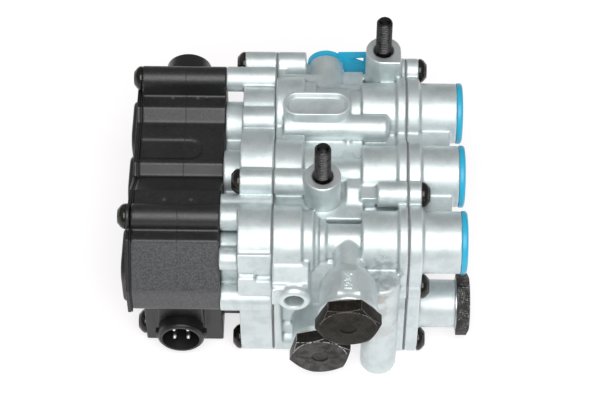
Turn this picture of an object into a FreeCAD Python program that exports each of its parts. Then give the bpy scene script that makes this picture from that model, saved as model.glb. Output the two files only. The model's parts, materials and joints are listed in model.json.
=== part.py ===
import FreeCAD, Part
import math
import os
import Sketcher

# Air suspension valve: three spool sections side by side along Y, each with its
# axis along X. X = 0 while modelling is the joint face of the pilot plate, Y = 0 is
# the middle spool, Z = 0 is the table. The finished pieces are moved so that the
# origin lies under the centre of the whole valve.

V = FreeCAD.Vector
doc = FreeCAD.newDocument("air_suspension_valve")

# Driving sizes in millimetres. A rise is a height above the spool axes or, on the
# solenoid cover, above the outer coils. An "out" is a distance along Y beyond the axis
# of an outer spool, away from the middle, and an "in" is one towards the middle.

DRIVING_SIZES = {
    # Gaps between pieces
    "running_gap": 0.05,
    "fit_gap": 0.3,
    # Spool sections
    "spool_pitch": 40.0,
    "spool_height": 72.6,
    # Stack along X
    "plate_thickness": 16.0,
    "neck_length": 9.0,
    "gasket_thickness": 0.3,
    "casting_length": 64.2,
    "end_flange_thickness": 6.4,
    "barrel_length": 18.5,
    "barrel_radius": 14.9,
    # Outline shared by the castings
    "foot_half_width": 56.7,
    "corner_radius": 6.2,
    "disc_radius": 17.3,
    "web_rise": 4.4,
    "flange_rise": 7.4,
    "flange_back_out": 22.0,
    "flange_front": 12.0,
    "body_flange_thickness": 4.1,
    "end_body_flange_thickness": 4.5,
    # Core of the valve body
    "core_front_out": 10.0,
    "core_back_out": 15.0,
    "core_bottom": 12.0,
    "core_front_drop": 4.6,
    "core_shoulder_in": 10.0,
    "core_length": 38.7,
    "core_end_rise": 0.9,
    "core_end_shoulder_in": 6.0,
    "skirt_out": 12.0,
    "skirt_bottom": 6.0,
    "skirt_height": 13.0,
    "skirt_length": 9.6,
    # Spool housings of the valve body
    "left_housing_length": 9.8,
    "left_housing_radius": 17.3,
    "step_housing_length": 5.6,
    "step_housing_radius": 14.9,
    "groove_length": 2.2,
    "groove_radius": 12.0,
    "collar_length": 3.6,
    "collar_radius": 10.1,
    "neck_radius": 8.4,
    "right_housing_length": 21.7,
    "right_housing_radius": 14.8,
    "square_housing_length": 10.3,
    "square_housing_front": 14.0,
    "square_housing_back": 16.0,
    "square_housing_rise": 13.0,
    "square_housing_corner": 2.5,
    "rear_tube_radius": 12.0,
    "rear_tube_length": 32.0,
    "rear_neck_radius": 11.0,
    "rear_neck_length": 7.6,
    # Gallery beside the rear section, its rib and the tab at the rib's foot
    "gallery_in": 16.0,
    "gallery_radius": 6.5,
    "gallery_length": 49.9,
    "gallery_taper": 2.0,
    "rib_x": 36.0,
    "rib_thickness": 1.4,
    "rib_back_in": 8.0,
    "rib_front_in": 25.0,
    "tab_half_width": 2.5,
    "tab_start": 4.5,
    "tab_end": 9.2,
    "tab_thickness": 0.9,
    # Oval pad over the rear section
    "pad_start": 3.8,
    "pad_length": 32.9,
    "pad_half_width": 7.1,
    "pad_in": 6.2,
    "pad_rise": 14.4,
    "pad_recess_start": 8.6,
    "pad_recess_length": 24.7,
    "pad_recess_half_width": 4.75,
    "pad_recess_in": 7.7,
    "pad_recess_depth": 3.0,
    # Blocks at the back and beside the middle boss
    "rear_block_end": 28.4,
    "rear_block_start_out": 6.8,
    "rear_block_end_out": 18.7,
    "step_block_start": 32.8,
    "step_block_end": 43.5,
    "step_block_out": 26.0,
    "step_block_rise": 1.4,
    "block_drop": 32.6,
    "wedge_start": 35.0,
    "wedge_middle": 42.0,
    "wedge_end": 49.2,
    "wedge_back": 8.0,
    "wedge_front": 20.5,
    "wedge_slope_front": 24.0,
    "wedge_slope_back": 14.0,
    "wedge_rise": 8.0,
    "wedge_slope_rise": 3.4,
    # Spool bores and spools
    "piston_bore_radius": 10.5,
    "piston_bore_depth": 13.5,
    "stem_bore_radius": 5.5,
    "poppet_bore_radius": 11.0,
    "poppet_bore_depth": 18.8,
    "piston_start": 0.8,
    "piston_length": 6.2,
    "piston_nub_length": 0.5,
    "piston_nub_radius": 3.0,
    "seal_groove_width": 1.9,
    "seal_depth": 1.9,
    "seal_gap": 0.1,
    "stem_seal_depth": 1.1,
    "stem_seal_inset": 4.0,
    "stem_seal_setback": 8.0,
    "poppet_radius": 8.0,
    "poppet_length": 4.0,
    "poppet_pin_radius": 3.0,
    "poppet_taper": 2.5,
    "poppet_chamfer": 1.5,
    "return_spring_radius": 5.4,
    "return_spring_wire_width": 1.3,
    # Ports of the barrels and the side port
    "barrel_port_radius": 9.5,
    "barrel_port_depth": 17.0,
    "passage_radius": 5.0,
    "end_web_rise": 3.4,
    "end_web_half": 8.0,
    "end_web_depth": 10.0,
    "end_web_setback": 3.7,
    "side_port_height": 21.7,
    "side_port_radius": 11.9,
    "side_port_length": 18.3,
    # Screw plugs
    "plug_thread_radius": 8.5,
    "plug_thread_depth": 13.0,
    "plug_flats_width": 27.0,
    "plug_head_height": 6.5,
    "plug_chamfer_length": 1.4,
    "plug_washer_thickness": 0.5,
    "plug_washer_radius": 12.6,
    "plug_shank_length": 10.5,
    "plug_dimple_radius": 4.0,
    "plug_dimple_depth": 0.5,
    # Port of the upper plug, radial to the front spool
    "upper_port_x": 36.3,
    "upper_port_face": 83.0,
    "upper_port_radius": 13.7,
    "upper_port_neck_radius": 7.2,
    "upper_port_cone_start": 60.2,
    "upper_port_cone_end": 66.5,
    "upper_port_cone_radius": 10.3,
    "upper_port_collar_length": 3.4,
    "port_collar_lip": 0.45,
    "label_half_width": 3.4,
    "label_flare": 2.6,
    "label_flare_length": 5.0,
    "label_lip": 0.65,
    # Port of the lower plug
    "lower_port_x": 23.3,
    "lower_port_face": 65.5,
    "lower_port_collar_length": 2.0,
    "lower_port_step": 0.8,
    "lower_port_root": 25.0,
    # Rear port and its cap
    "rear_port_x": 24.7,
    "rear_port_drop": 0.6,
    "rear_port_radius": 8.7,
    "rear_port_face": 71.3,
    "rear_port_thread_radius": 6.5,
    "rear_port_depth": 13.0,
    "rear_passage_radius": 3.0,
    # Vent boss
    "vent_x": 10.9,
    "vent_height": 66.0,
    "vent_radius": 8.1,
    "vent_rim_radius": 6.75,
    "vent_rim_length": 1.8,
    "vent_bore_radius": 4.65,
    "vent_face": 71.0,
    "vent_depth": 17.0,
    "vent_block_end": 17.6,
    "vent_block_top": 76.7,
    "vent_block_front": 66.5,
    "vent_block_drop": 2.2,
    "vent_gusset_front": 69.6,
    "vent_gusset_thickness": 12.0,
    # Mounting bosses
    "boss_radius": 8.8,
    "boss_top": 94.3,
    "boss_bottom": 9.0,
    "bolt_hole_radius": 5.0,
    "rear_boss_x": 53.3,
    "rear_boss_out": 5.9,
    "middle_boss_x": 23.7,
    "middle_boss_y": -17.4,
    "boss_gusset": 6.0,
    "boss_gusset_height": 60.0,
    "foot_boss_x": 52.0,
    "foot_boss_out": 2.9,
    "foot_boss_top": 70.5,
    "foot_web_half": 5.0,
    "foot_web_bottom": 20.0,
    "foot_web_drop": 4.5,
    # Mounting bolts
    "bolt_thread_radius": 3.95,
    "bolt_shank_radius": 3.6,
    "bolt_tip_height": 115.5,
    "bolt_thread_start": 1.0,
    "bolt_tip_chamfer": 1.0,
    "bolt_head_height": 8.0,
    "bolt_hexagon_height": 5.0,
    "bolt_flange_radius": 8.5,
    "bolt_flats_width": 13.0,
    # Screws of the castings
    "screw_radius": 3.0,
    "screw_head_height": 4.0,
    "screw_head_radius": 6.1,
    "screw_crown_radius": 3.5,
    "screw_shoulder_radius": 5.4,
    "screw_shoulder_height": 2.4,
    "screw_rim_height": 1.2,
    "screw_tip_chamfer": 1.0,
    "screw_socket_width": 4.0,
    "screw_socket_depth": 2.0,
    "screw_reach": 11.0,
    "short_screw_reach": 5.0,
    "hole_spare": 1.0,
    "lobe_radius": 6.2,
    "lobe_length": 14.5,
    "middle_lobe_length": 22.5,
    "middle_foot_screw": 8.0,
    "plate_rear_screw_out": 27.6,
    "plate_rear_screw_rise": 4.5,
    "plate_middle_screw": 15.0,
    "plate_middle_screw_rise": 13.7,
    "end_rear_screw_out": 21.5,
    "end_front_screw": 19.0,
    "end_front_screw_rise": 9.9,
    "end_side_screw_out": 13.0,
    "end_side_screw_drop": 17.6,
    # Pilot plate
    "plate_rear_radius": 12.4,
    "plate_middle_radius": 19.8,
    "plate_middle_back": 3.0,
    "plate_gallery_in": 12.0,
    "plate_web_rise": 5.4,
    "neck_rear_drop": 11.1,
    "neck_rear_radius": 12.0,
    "neck_middle_back": 8.0,
    "neck_middle_drop": 10.1,
    "neck_middle_radius": 12.0,
    "neck_middle_tube_front": 24.0,
    "neck_middle_tube_rise": 6.6,
    "neck_middle_tube_radius": 5.4,
    "neck_front_drop": 6.6,
    "neck_front_radius": 8.5,
    "neck_front_tube_out": 10.0,
    "neck_front_tube_drop": 1.1,
    "neck_front_tube_radius": 5.6,
    "neck_coil_radius": 9.5,
    "neck_core_bottom": 44.0,
    "neck_core_out": 10.0,
    "neck_core_drop": 8.6,
    "plate_tube_out": 15.0,
    "plate_tube_height": 47.1,
    "plate_tube_radius": 6.7,
    "plate_ledge_out": 20.0,
    "plate_ledge_bottom": 55.0,
    "plate_ledge_drop": 3.9,
    "plate_ledge_notch": 2.2,
    "plate_front_out": 16.5,
    "plate_front_rise": 9.9,
    "pilot_channel_radius": 1.2,
    "channel_inset": 6.0,
    # Solenoid cover
    "cover_length": 42.3,
    "cover_wall": 2.5,
    "cover_end_wall": 3.0,
    "cover_back_out": 21.0,
    "cover_front_out": 20.0,
    "cover_step_out": 0.9,
    "cover_middle_edge": 9.7,
    "cover_valley": 4.9,
    "cover_ridge": 14.3,
    "cover_slope_out": 4.5,
    "cover_rear_rise": 19.0,
    "cover_middle_rise": 13.6,
    "cover_valley_rise": 8.7,
    "cover_front_rise": 23.0,
    "cover_slope_rise": 2.5,
    "cover_floor_drop": 15.2,
    "cover_front_rounding": 5.0,
    "cover_recess_back": 24.9,
    "cover_recess_front": 12.5,
    "cover_recess_end": 11.0,
    "cover_recess_depth": 0.8,
    "ejector_mark_radius": 0.75,
    "ejector_mark_depth": 0.4,
    "ejector_near": 9.5,
    "ejector_far": 23.5,
    "ejector_rear_out": 7.0,
    "ejector_front_out": 0.6,
    "base_length": 38.3,
    "base_half_width": 50.0,
    "base_bottom": 2.0,
    "base_overlap": 5.0,
    "connector_block_length": 1.8,
    "connector_block_top": 36.0,
    "lower_chamber_in": 16.0,
    "stub_out": 8.0,
    "stub_bottom": 22.0,
    "cover_lobe_radius": 6.2,
    "cover_screw_radius": 2.5,
    "cover_screw_reach": 12.0,
    "cover_rear_screw_out": 14.8,
    "cover_middle_screw_in": 8.0,
    "base_screw_out": 3.5,
    "base_screw_height": 8.5,
    "base_screw_length": 6.5,
    # Lid
    "lid_thickness": 2.0,
    "lid_seal_thickness": 0.5,
    "bulge_height": 2.4,
    "bulge_rounding": 1.7,
    "bulge_half": 14.9,
    "middle_bulge_half": 13.9,
    "bulge_corner": 8.0,
    "bulge_drop": 3.3,
    "middle_bulge_drop": 5.4,
    "middle_bulge_back": 8.0,
    # Connectors
    "connector_x": -45.5,
    "connector_radius": 11.4,
    "connector_socket_radius": 9.2,
    "connector_spigot_radius": 10.4,
    "connector_floor_thickness": 3.0,
    "connector_edge": 1.0,
    "spigot_room": 4.2,
    "lug_half_width": 2.0,
    "lug_length": 3.0,
    "lug_setback": 2.5,
    "lug_height": 1.2,
    "front_connector_height": 14.0,
    "front_connector_length": 6.2,
    "front_connector_depth": 17.0,
    "rear_connector_height": 62.0,
    "rear_connector_length": 17.0,
    "rear_connector_depth": 18.0,
    "contact_radius": 1.25,
    "contact_spacing": 6.8,
    "contact_inset": 6.0,
    # Solenoids
    "coil_height": 55.0,
    "middle_coil_height": 48.0,
    "coil_radius": 11.5,
    "coil_bore_radius": 5.8,
    "coil_rim_width": 2.5,
    "coil_waist_depth": 1.0,
    "tube_radius": 5.5,
    "tube_flange_radius": 7.2,
    "tube_bore_radius": 4.6,
    "tube_length": 45.0,
    "pole_length": 16.0,
    "tube_insert": 11.0,
    "armature_travel": 0.8,
    "armature_stop_gap": 0.2,
    "armature_edge": 1.0,
    "armature_spring_radius": 2.0,
    "armature_spring_wire_width": 0.5,
    "armature_spring_bore_radius": 2.6,
    "armature_spring_depth": 8.0,
    "nozzle_radius": 2.6,
    "nozzle_tip_radius": 1.0,
    "nozzle_height": 4.1,
    "nozzle_gap": 0.1,
    "seat_length": 5.5,
    # Caps of the ports
    "cap_rim_thickness": 2.8,
    "cap_rim_radius": 15.15,
    "cap_edge": 0.8,
    "cap_spigot_length": 9.5,
    "cap_wall": 1.5,
    "rear_cap_spigot_length": 8.0,
    "rear_cap_lip": 0.7,
    "pull_tab_thickness": 1.6,
    "pull_tab_length": 21.0,
}

sheet = doc.addObject("Spreadsheet::Sheet", "Sizes")
for row, (word, number) in enumerate(DRIVING_SIZES.items(), start=1):
    sheet.set(f"A{row}", word)
    sheet.set(f"B{row}", str(number))
    sheet.setAlias(f"B{row}", word)
doc.recompute()


class Size:
    """A length that carries both its number and its spreadsheet expression."""

    def __init__(self, number, text=None):
        self.number = float(number)
        self.text = text if text is not None else repr(float(number))

    def join(self, other, sign, number):
        return Size(number, f"({self.text} {sign} {size(other).text})")

    def __add__(self, other):
        return self.join(other, "+", self.number + size(other).number)

    def __sub__(self, other):
        return self.join(other, "-", self.number - size(other).number)

    def __mul__(self, other):
        return self.join(other, "*", self.number * size(other).number)

    def __truediv__(self, other):
        return self.join(other, "/", self.number / size(other).number)

    def __radd__(self, other):
        return size(other) + self

    def __rsub__(self, other):
        return size(other) - self

    def __rmul__(self, other):
        return size(other) * self

    def __neg__(self):
        return size(0) - self


def size(value):
    return value if isinstance(value, Size) else Size(value)


class Sizes:
    """The spreadsheet's cells by name."""

    def __getattr__(self, word):
        return Size(sheet.get(word), f"Sizes.{word}")


S = Sizes()

# Places worked out from the driving sizes

SPOOL_Y = {"rear": S.spool_pitch * 1, "middle": S.spool_pitch * 0, "front": -S.spool_pitch}
COIL_Z = {"rear": S.coil_height, "middle": S.middle_coil_height, "front": S.coil_height}
SPOOL_Z = S.spool_height
BODY_START = S.gasket_thickness
BODY_END = BODY_START + S.casting_length
INSIDE_START = BODY_START + S.body_flange_thickness
INSIDE_END = BODY_END - S.end_body_flange_thickness
END_START = BODY_END + S.gasket_thickness
END_FACE = END_START + S.end_flange_thickness
BARREL_END = END_FACE + S.barrel_length
SIDE_PORT_END = END_FACE + S.side_port_length
SIDE_PLUG_FACE = SIDE_PORT_END + S.plug_washer_thickness + S.plug_head_height
PLATE_START = -S.plate_thickness
NECK_END = PLATE_START - S.neck_length
COVER_END = NECK_END - S.cover_length
BASE_START = NECK_END - S.base_length
LID_START = COVER_END - S.lid_seal_thickness
LID_FACE = LID_START - S.lid_thickness
LID_SCREW_FACE = LID_FACE - S.screw_head_height
UPPER_PLUG_FACE = S.upper_port_face + S.plug_washer_thickness + S.plug_head_height
FLANGE_TOP = SPOOL_Z + S.flange_rise
WEB_TOP = SPOOL_Z + S.web_rise
REAR_BOSS_Y = S.foot_half_width + S.rear_boss_out
FOOT_BOSS_Y = -(S.foot_half_width + S.foot_boss_out)
SCREW_HOLE = S.screw_radius + S.running_gap
COVER_SCREW_HOLE = S.cover_screw_radius + S.running_gap


def outward(distance):
    """Y at the distance beyond the rear spool."""
    return S.spool_pitch + distance


COVER_BACK = outward(S.cover_back_out)
COVER_FRONT = -outward(S.cover_front_out)
REAR_CONNECTOR_FACE = COVER_BACK + S.rear_connector_length
ORIGIN = (
    (SIDE_PLUG_FACE + LID_SCREW_FACE) / 2,
    (REAR_CONNECTOR_FACE - UPPER_PLUG_FACE) / 2,
    size(0),
)


# Screws of the castings: (Y, Z, reach into the valve body)
FOOT_SCREW_Y = S.foot_half_width - S.corner_radius
FOOT_SCREWS = {
    "front_foot": (-FOOT_SCREW_Y, S.corner_radius, S.screw_reach),
    "rear_foot": (FOOT_SCREW_Y, S.corner_radius, S.screw_reach),
    "middle_foot": (S.middle_foot_screw, S.corner_radius, S.screw_reach),
}
PLATE_SCREWS = {
    "rear_top": (outward(S.plate_rear_screw_out), SPOOL_Z + S.plate_rear_screw_rise, S.screw_reach),
    "middle_top": (-S.plate_middle_screw, SPOOL_Z + S.plate_middle_screw_rise, S.screw_reach),
    **FOOT_SCREWS,
}
END_SCREWS = {
    "rear_top": (outward(S.end_rear_screw_out), FLANGE_TOP, S.short_screw_reach),
    "front_top": (-S.end_front_screw, SPOOL_Z + S.end_front_screw_rise, S.screw_reach),
    "front_side": (-outward(S.end_side_screw_out), SPOOL_Z - S.end_side_screw_drop, S.short_screw_reach),
    **FOOT_SCREWS,
}
# Screws of the solenoid cover: (Y, Z, X under the head, X of the tip)
COVER_SCREW_TIP = NECK_END + S.cover_screw_reach
COVER_SCREWS = {
    "rear": (outward(S.cover_rear_screw_out), FLANGE_TOP, COVER_END, COVER_SCREW_TIP),
    "middle": (S.cover_middle_screw_in - S.spool_pitch, FLANGE_TOP, LID_FACE, COVER_SCREW_TIP),
    "base": (-outward(S.base_screw_out), S.base_screw_height, BASE_START, BASE_START + S.base_screw_length),
}

ALONG = {
    "+x": FreeCAD.Rotation(V(0, 1, 0), 90),
    "-x": FreeCAD.Rotation(V(0, 1, 0), -90),
    "+y": FreeCAD.Rotation(V(1, 0, 0), -90),
    "-y": FreeCAD.Rotation(V(1, 0, 0), 90),
    "+z": FreeCAD.Rotation(),
}
NODES = {}


def bind(thing, prop, value):
    thing.setExpression(prop, size(value).text)


def place(thing, at, rotation):
    thing.Placement = FreeCAD.Placement(V(*(size(c).number for c in at)), rotation)
    for letter, coordinate in zip("xyz", at):
        bind(thing, f"Placement.Base.{letter}", coordinate)


def keep(label, thing, at=(0, 0, 0), rotation=None):
    """Name a finished sub-part and move it into the frame of the whole valve."""
    thing.Label = label
    place(thing, [size(c) - o for c, o in zip(at, ORIGIN)], rotation or FreeCAD.Rotation())
    NODES[label] = thing
    return thing


# Solids for the castings

def cylinder(at, radius, length, along="+x"):
    thing = doc.addObject("Part::Cylinder", "Round")
    bind(thing, "Radius", radius)
    bind(thing, "Height", length)
    place(thing, at, ALONG[along])
    return thing


def cone(at, start_radius, end_radius, length, along="+x"):
    thing = doc.addObject("Part::Cone", "Taper")
    bind(thing, "Radius1", start_radius)
    bind(thing, "Radius2", end_radius)
    bind(thing, "Height", length)
    place(thing, at, ALONG[along])
    return thing


def block(low, high):
    thing = doc.addObject("Part::Box", "Block")
    for prop, start, end in zip(("Length", "Width", "Height"), low, high):
        bind(thing, prop, size(end) - start)
    place(thing, low, FreeCAD.Rotation())
    return thing


def add_rules(sketch, rules):
    """Add sketch constraints, each with the size that drives it."""
    for rule, value in rules:
        index = sketch.addConstraint(rule)
        if "Sizes" in value.text:
            sketch.setExpression(f"Constraints[{index}]", value.text)


def draw_polygon(sketch, points):
    """Closed line through the points, each tied to the sketch's axes."""
    count = len(points)
    flat = [V(size(u).number, size(v).number, 0) for u, v in points]
    first = sketch.GeometryCount
    for i in range(count):
        sketch.addGeometry(Part.LineSegment(flat[i], flat[(i + 1) % count]))
    for i in range(count):
        following = first + (i + 1) % count
        sketch.addConstraint(Sketcher.Constraint("Coincident", first + i, 2, following, 1))
    for i, (u, v) in enumerate(points):
        places = (("DistanceX", size(u)), ("DistanceY", size(v)))
        add_rules(sketch, [
            (Sketcher.Constraint(kind, -1, 1, first + i, 1, value.number), value)
            for kind, value in places
        ])


def draw_box(sketch, low, high):
    draw_polygon(sketch, [low, (high[0], low[1]), high, (low[0], high[1])])


def draw_circle(sketch, centre, radius):
    u, v = (size(c) for c in centre)
    index = sketch.addGeometry(Part.Circle(V(u.number, v.number, 0), V(0, 0, 1), size(radius).number))
    rules = (
        (Sketcher.Constraint("Radius", index, size(radius).number), size(radius)),
        (Sketcher.Constraint("DistanceX", -1, 1, index, 3, u.number), u),
        (Sketcher.Constraint("DistanceY", -1, 1, index, 3, v.number), v),
    )
    add_rules(sketch, rules)


def draw_rounded_box(sketch, centre, half_u, half_v, radius):
    """Closed outline with four tangent corner arcs, tied by its arc centres."""
    u, v = (size(c) for c in centre)
    r = size(radius)
    first = sketch.GeometryCount
    sides = ((1, 1), (-1, 1), (-1, -1), (1, -1))
    middles = [(u + a * (size(half_u) - r), v + b * (size(half_v) - r)) for a, b in sides]
    for i, (cu, cv) in enumerate(middles):
        circle = Part.Circle(V(cu.number, cv.number, 0), V(0, 0, 1), r.number)
        start = math.pi / 2 * i
        sketch.addGeometry(Part.ArcOfCircle(circle, start, start + math.pi / 2))
    for i in range(4):
        arc, following = sketch.Geometry[first + i], sketch.Geometry[first + (i + 1) % 4]
        sketch.addGeometry(Part.LineSegment(arc.EndPoint, following.StartPoint))
    for i, (cu, cv) in enumerate(middles):
        rules = (
            (Sketcher.Constraint("Radius", first + i, r.number), r),
            (Sketcher.Constraint("DistanceX", -1, 1, first + i, 3, cu.number), cu),
            (Sketcher.Constraint("DistanceY", -1, 1, first + i, 3, cv.number), cv),
        )
        add_rules(sketch, rules)
        side = first + 4 + i
        sketch.addConstraint(Sketcher.Constraint("Tangent", first + i, 2, side, 1))
        sketch.addConstraint(Sketcher.Constraint("Tangent", side, 2, first + (i + 1) % 4, 1))


def prism(points, start, length, plane="yz"):
    """A solid with a drawn section in the YZ or XY plane, standing along +X or +Z."""
    sketch = doc.addObject("Sketcher::SketchObject", "Section")
    turned_plane = FreeCAD.Rotation(V(1, 1, 1), 120) if plane == "yz" else FreeCAD.Rotation()
    at = (start, 0, 0) if plane == "yz" else (0, 0, start)
    place(sketch, at, turned_plane)
    draw_polygon(sketch, points)
    thing = doc.addObject("Part::Extrusion", "Prism")
    thing.Base = sketch
    thing.DirMode = "Normal"
    thing.Solid = True
    bind(thing, "LengthFwd", length)
    return thing


def fuse(*shapes):
    thing = doc.addObject("Part::MultiFuse", "Joined")
    thing.Shapes = list(shapes)
    thing.Refine = True
    return thing


def cut(base, *tools):
    thing = doc.addObject("Part::Cut", "Machined")
    thing.Base = base
    thing.Tool = fuse(*tools) if len(tools) > 1 else tools[0]
    thing.Refine = True
    return thing


# Features of the PartDesign bodies

def new_body(name):
    return doc.addObject("PartDesign::Body", name)


def new_sketch(body, role, offset=0):
    sketch = body.newObject("Sketcher::SketchObject", "Sketch")
    plane = next(f for f in body.Origin.OriginFeatures if f.Role == role)
    sketch.AttachmentSupport = (plane, [""])
    sketch.MapMode = "FlatFace"
    sketch.AttachmentOffset = FreeCAD.Placement(V(0, 0, size(offset).number), FreeCAD.Rotation())
    bind(sketch, "AttachmentOffset.Base.z", offset)
    return sketch


def pad(body, sketch, length, reverse=False):
    feature = body.newObject("PartDesign::Pad", "Pad")
    feature.Profile = sketch
    feature.Reversed = reverse
    bind(feature, "Length", length)
    return feature


def pocket(body, sketch, length, reverse=False):
    feature = body.newObject("PartDesign::Pocket", "Pocket")
    feature.Profile = sketch
    feature.Reversed = reverse
    bind(feature, "Length", length)
    return feature


def revolve(body, points):
    """Turned form from points of (place along X, radius)."""
    sketch = new_sketch(body, "XY_Plane")
    draw_polygon(sketch, points)
    feature = body.newObject("PartDesign::Revolution", "Revolution")
    feature.Profile = sketch
    feature.ReferenceAxis = (sketch, ["H_Axis"])
    feature.Angle = 360
    return feature


def turned(label, points, at, rotation=None):
    """A sub-part turned about its own X axis."""
    body = new_body(label)
    revolve(body, points)
    return keep(label, body, at, rotation)


# X of a turned sub-part laid along another axis
TO_MINUS_Y = FreeCAD.Rotation(V(0, 0, 1), -90)
TO_PLUS_Y = FreeCAD.Rotation(V(0, 0, 1), 90)
TO_PLUS_Z = FreeCAD.Rotation(V(0, 1, 0), -90)


def round_edges(body, radius, wanted):
    """Fillet the edges of the body's last feature that the test picks."""
    doc.recompute()
    base = body.Tip
    names = [f"Edge{i}" for i, edge in enumerate(base.Shape.Edges, start=1) if wanted(edge)]
    feature = body.newObject("PartDesign::Fillet", "Fillet")
    feature.Base = (base, names)
    bind(feature, "Radius", radius)
    return feature


def along_x(edge, y, z, reach=0.05):
    """True for a straight edge along X at the given Y and Z."""
    if len(edge.Vertexes) != 2:
        return False
    first, last = (v.Point for v in edge.Vertexes)
    level = abs(first.y - last.y) < reach and abs(first.z - last.z) < reach
    return level and abs(first.y - y) < reach and abs(first.z - z) < reach


def slot(low_x, length, y, half_width, bottom, top):
    """Upright solid, long along X, with round ends."""
    first = low_x + half_width
    last = low_x + length - half_width
    ends = [cylinder((x, y, bottom), half_width, top - bottom, "+z") for x in (first, last)]
    return ends + [block((first, y - half_width, bottom), (last, y + half_width, top))]


def drawn_in(points, inset):
    """A closed outline, drawn anticlockwise, moved inwards by the inset."""
    flat = [V(size(u).number, size(v).number, 0) for u, v in points]
    moved = []
    for i, (u, v) in enumerate(points):
        edges = (flat[i] - flat[i - 1], flat[(i + 1) % len(flat)] - flat[i])
        normals = [V(-edge.y, edge.x, 0).normalize() for edge in edges]
        shift = (normals[0] + normals[1]) / (1.0 + normals[0].dot(normals[1]))
        moved.append((u + size(inset) * shift.x, v + size(inset) * shift.y))
    return moved


# Outline shared by the plates, gaskets and flanges

def foot_outline(start, length):
    """The lower plate with its four rounded corners."""
    half = S.foot_half_width
    corner = S.corner_radius
    pieces = [
        block((start, -half, corner), (start + length, half, SPOOL_Z)),
        block((start, corner - half, 0), (start + length, half - corner, SPOOL_Z)),
    ]
    for side in (-1, 1):
        centre = (start, side * (half - corner), corner)
        pieces.append(cylinder(centre, corner, length))
    return pieces


def disc_outline(start, length, rear_radius):
    """Three discs about the spools with the web between them."""
    radii = {"rear": rear_radius, "middle": S.disc_radius, "front": S.disc_radius}
    pieces = [cylinder((start, y, SPOOL_Z), radii[word], length) for word, y in SPOOL_Y.items()]
    low = (start, -S.spool_pitch, SPOOL_Z - S.disc_radius)
    pieces.append(block(low, (start + length, S.spool_pitch, WEB_TOP)))
    return pieces


def lobes(screws, start, length):
    return [cylinder((start, y, z), S.lobe_radius, length) for y, z, _ in screws.values()]


def clearance_holes(screws, start, length):
    return [cylinder((start, y, z), SCREW_HOLE, length) for y, z, _ in screws.values()]


def rear_filler(start, length):
    """Web that joins the rear screw lobe of the pilot plate to the rear lobe of the cover."""
    inner_y, inner_z, _, _ = COVER_SCREWS["rear"]
    outer_y, outer_z, _ = PLATE_SCREWS["rear_top"]
    return [
        block((start, inner_y, SPOOL_Z - S.lobe_radius), (start + length, outer_y, outer_z)),
        cylinder((start, inner_y, inner_z), S.lobe_radius, length),
    ]


# Valve body

def spool_housing(y):
    """Stepped outside of one spool section."""
    x = INSIDE_START
    steps = (
        (S.left_housing_length, S.left_housing_radius),
        (S.step_housing_length, S.step_housing_radius),
        (S.groove_length, S.groove_radius),
        (S.collar_length, S.collar_radius),
    )
    pieces = []
    for length, radius in steps:
        pieces.append(cylinder((x, y, SPOOL_Z), radius, length))
        x = x + length
    right = BODY_END - S.right_housing_length
    pieces.append(cylinder((x, y, SPOOL_Z), S.neck_radius, right - x))
    pieces.append(cylinder((right, y, SPOOL_Z), S.right_housing_radius, S.right_housing_length))
    return pieces


def spool_bores(y):
    return [
        cylinder((BODY_START, y, SPOOL_Z), S.piston_bore_radius, S.piston_bore_depth),
        cylinder((BODY_START, y, SPOOL_Z), S.stem_bore_radius, S.casting_length),
        cylinder((BODY_END - S.poppet_bore_depth, y, SPOOL_Z), S.poppet_bore_radius, S.poppet_bore_depth),
    ]


def flanges():
    """Left flange with its flat top, and right flange with the outline of the end cover."""
    pieces = foot_outline(BODY_START, S.body_flange_thickness)
    pieces += disc_outline(BODY_START, S.body_flange_thickness, S.disc_radius)
    flat_low = (BODY_START, -S.flange_front, SPOOL_Z)
    flat_high = (INSIDE_START, outward(S.flange_back_out), FLANGE_TOP)
    pieces.append(block(flat_low, flat_high))
    pieces += foot_outline(INSIDE_END, S.end_body_flange_thickness)
    pieces += disc_outline(INSIDE_END, S.end_body_flange_thickness, S.disc_radius)
    return pieces


def core():
    """Two drawn sections that carry the housings between the flanges."""
    front, back = -outward(S.core_front_out), outward(S.core_back_out)
    front_top = SPOOL_Z - S.core_front_drop
    shoulder = S.core_shoulder_in - S.spool_pitch
    first = [
        (front, S.core_bottom), (back, S.core_bottom), (back, WEB_TOP),
        (shoulder, WEB_TOP), (shoulder, front_top), (front, front_top),
    ]
    end_top = SPOOL_Z + S.core_end_rise
    end_shoulder = S.core_end_shoulder_in - S.spool_pitch
    second = [
        (front, S.core_bottom), (back, S.core_bottom), (back, end_top),
        (end_shoulder, end_top), (end_shoulder, front_top), (front, front_top),
    ]
    middle = INSIDE_START + S.core_length
    skirt = outward(S.skirt_out)
    skirt_high = (INSIDE_START + S.skirt_length, skirt, S.skirt_bottom + S.skirt_height)
    return [
        prism(first, INSIDE_START, S.core_length),
        prism(second, middle, INSIDE_END - middle),
        block((INSIDE_START, -skirt, S.skirt_bottom), skirt_high),
    ]


def square_housing():
    """Left housing of the middle section, square outside with rounded top edges."""
    front, back = -S.square_housing_front, S.square_housing_back
    top = SPOOL_Z + S.square_housing_rise
    corner = S.square_housing_corner
    length = S.square_housing_length
    pieces = [
        block((INSIDE_START, front, SPOOL_Z), (INSIDE_START + length, back, top - corner)),
        block((INSIDE_START, front + corner, SPOOL_Z), (INSIDE_START + length, back - corner, top)),
    ]
    for y in (front + corner, back - corner):
        pieces.append(cylinder((INSIDE_START, y, top - corner), corner, length))
    return pieces


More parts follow.
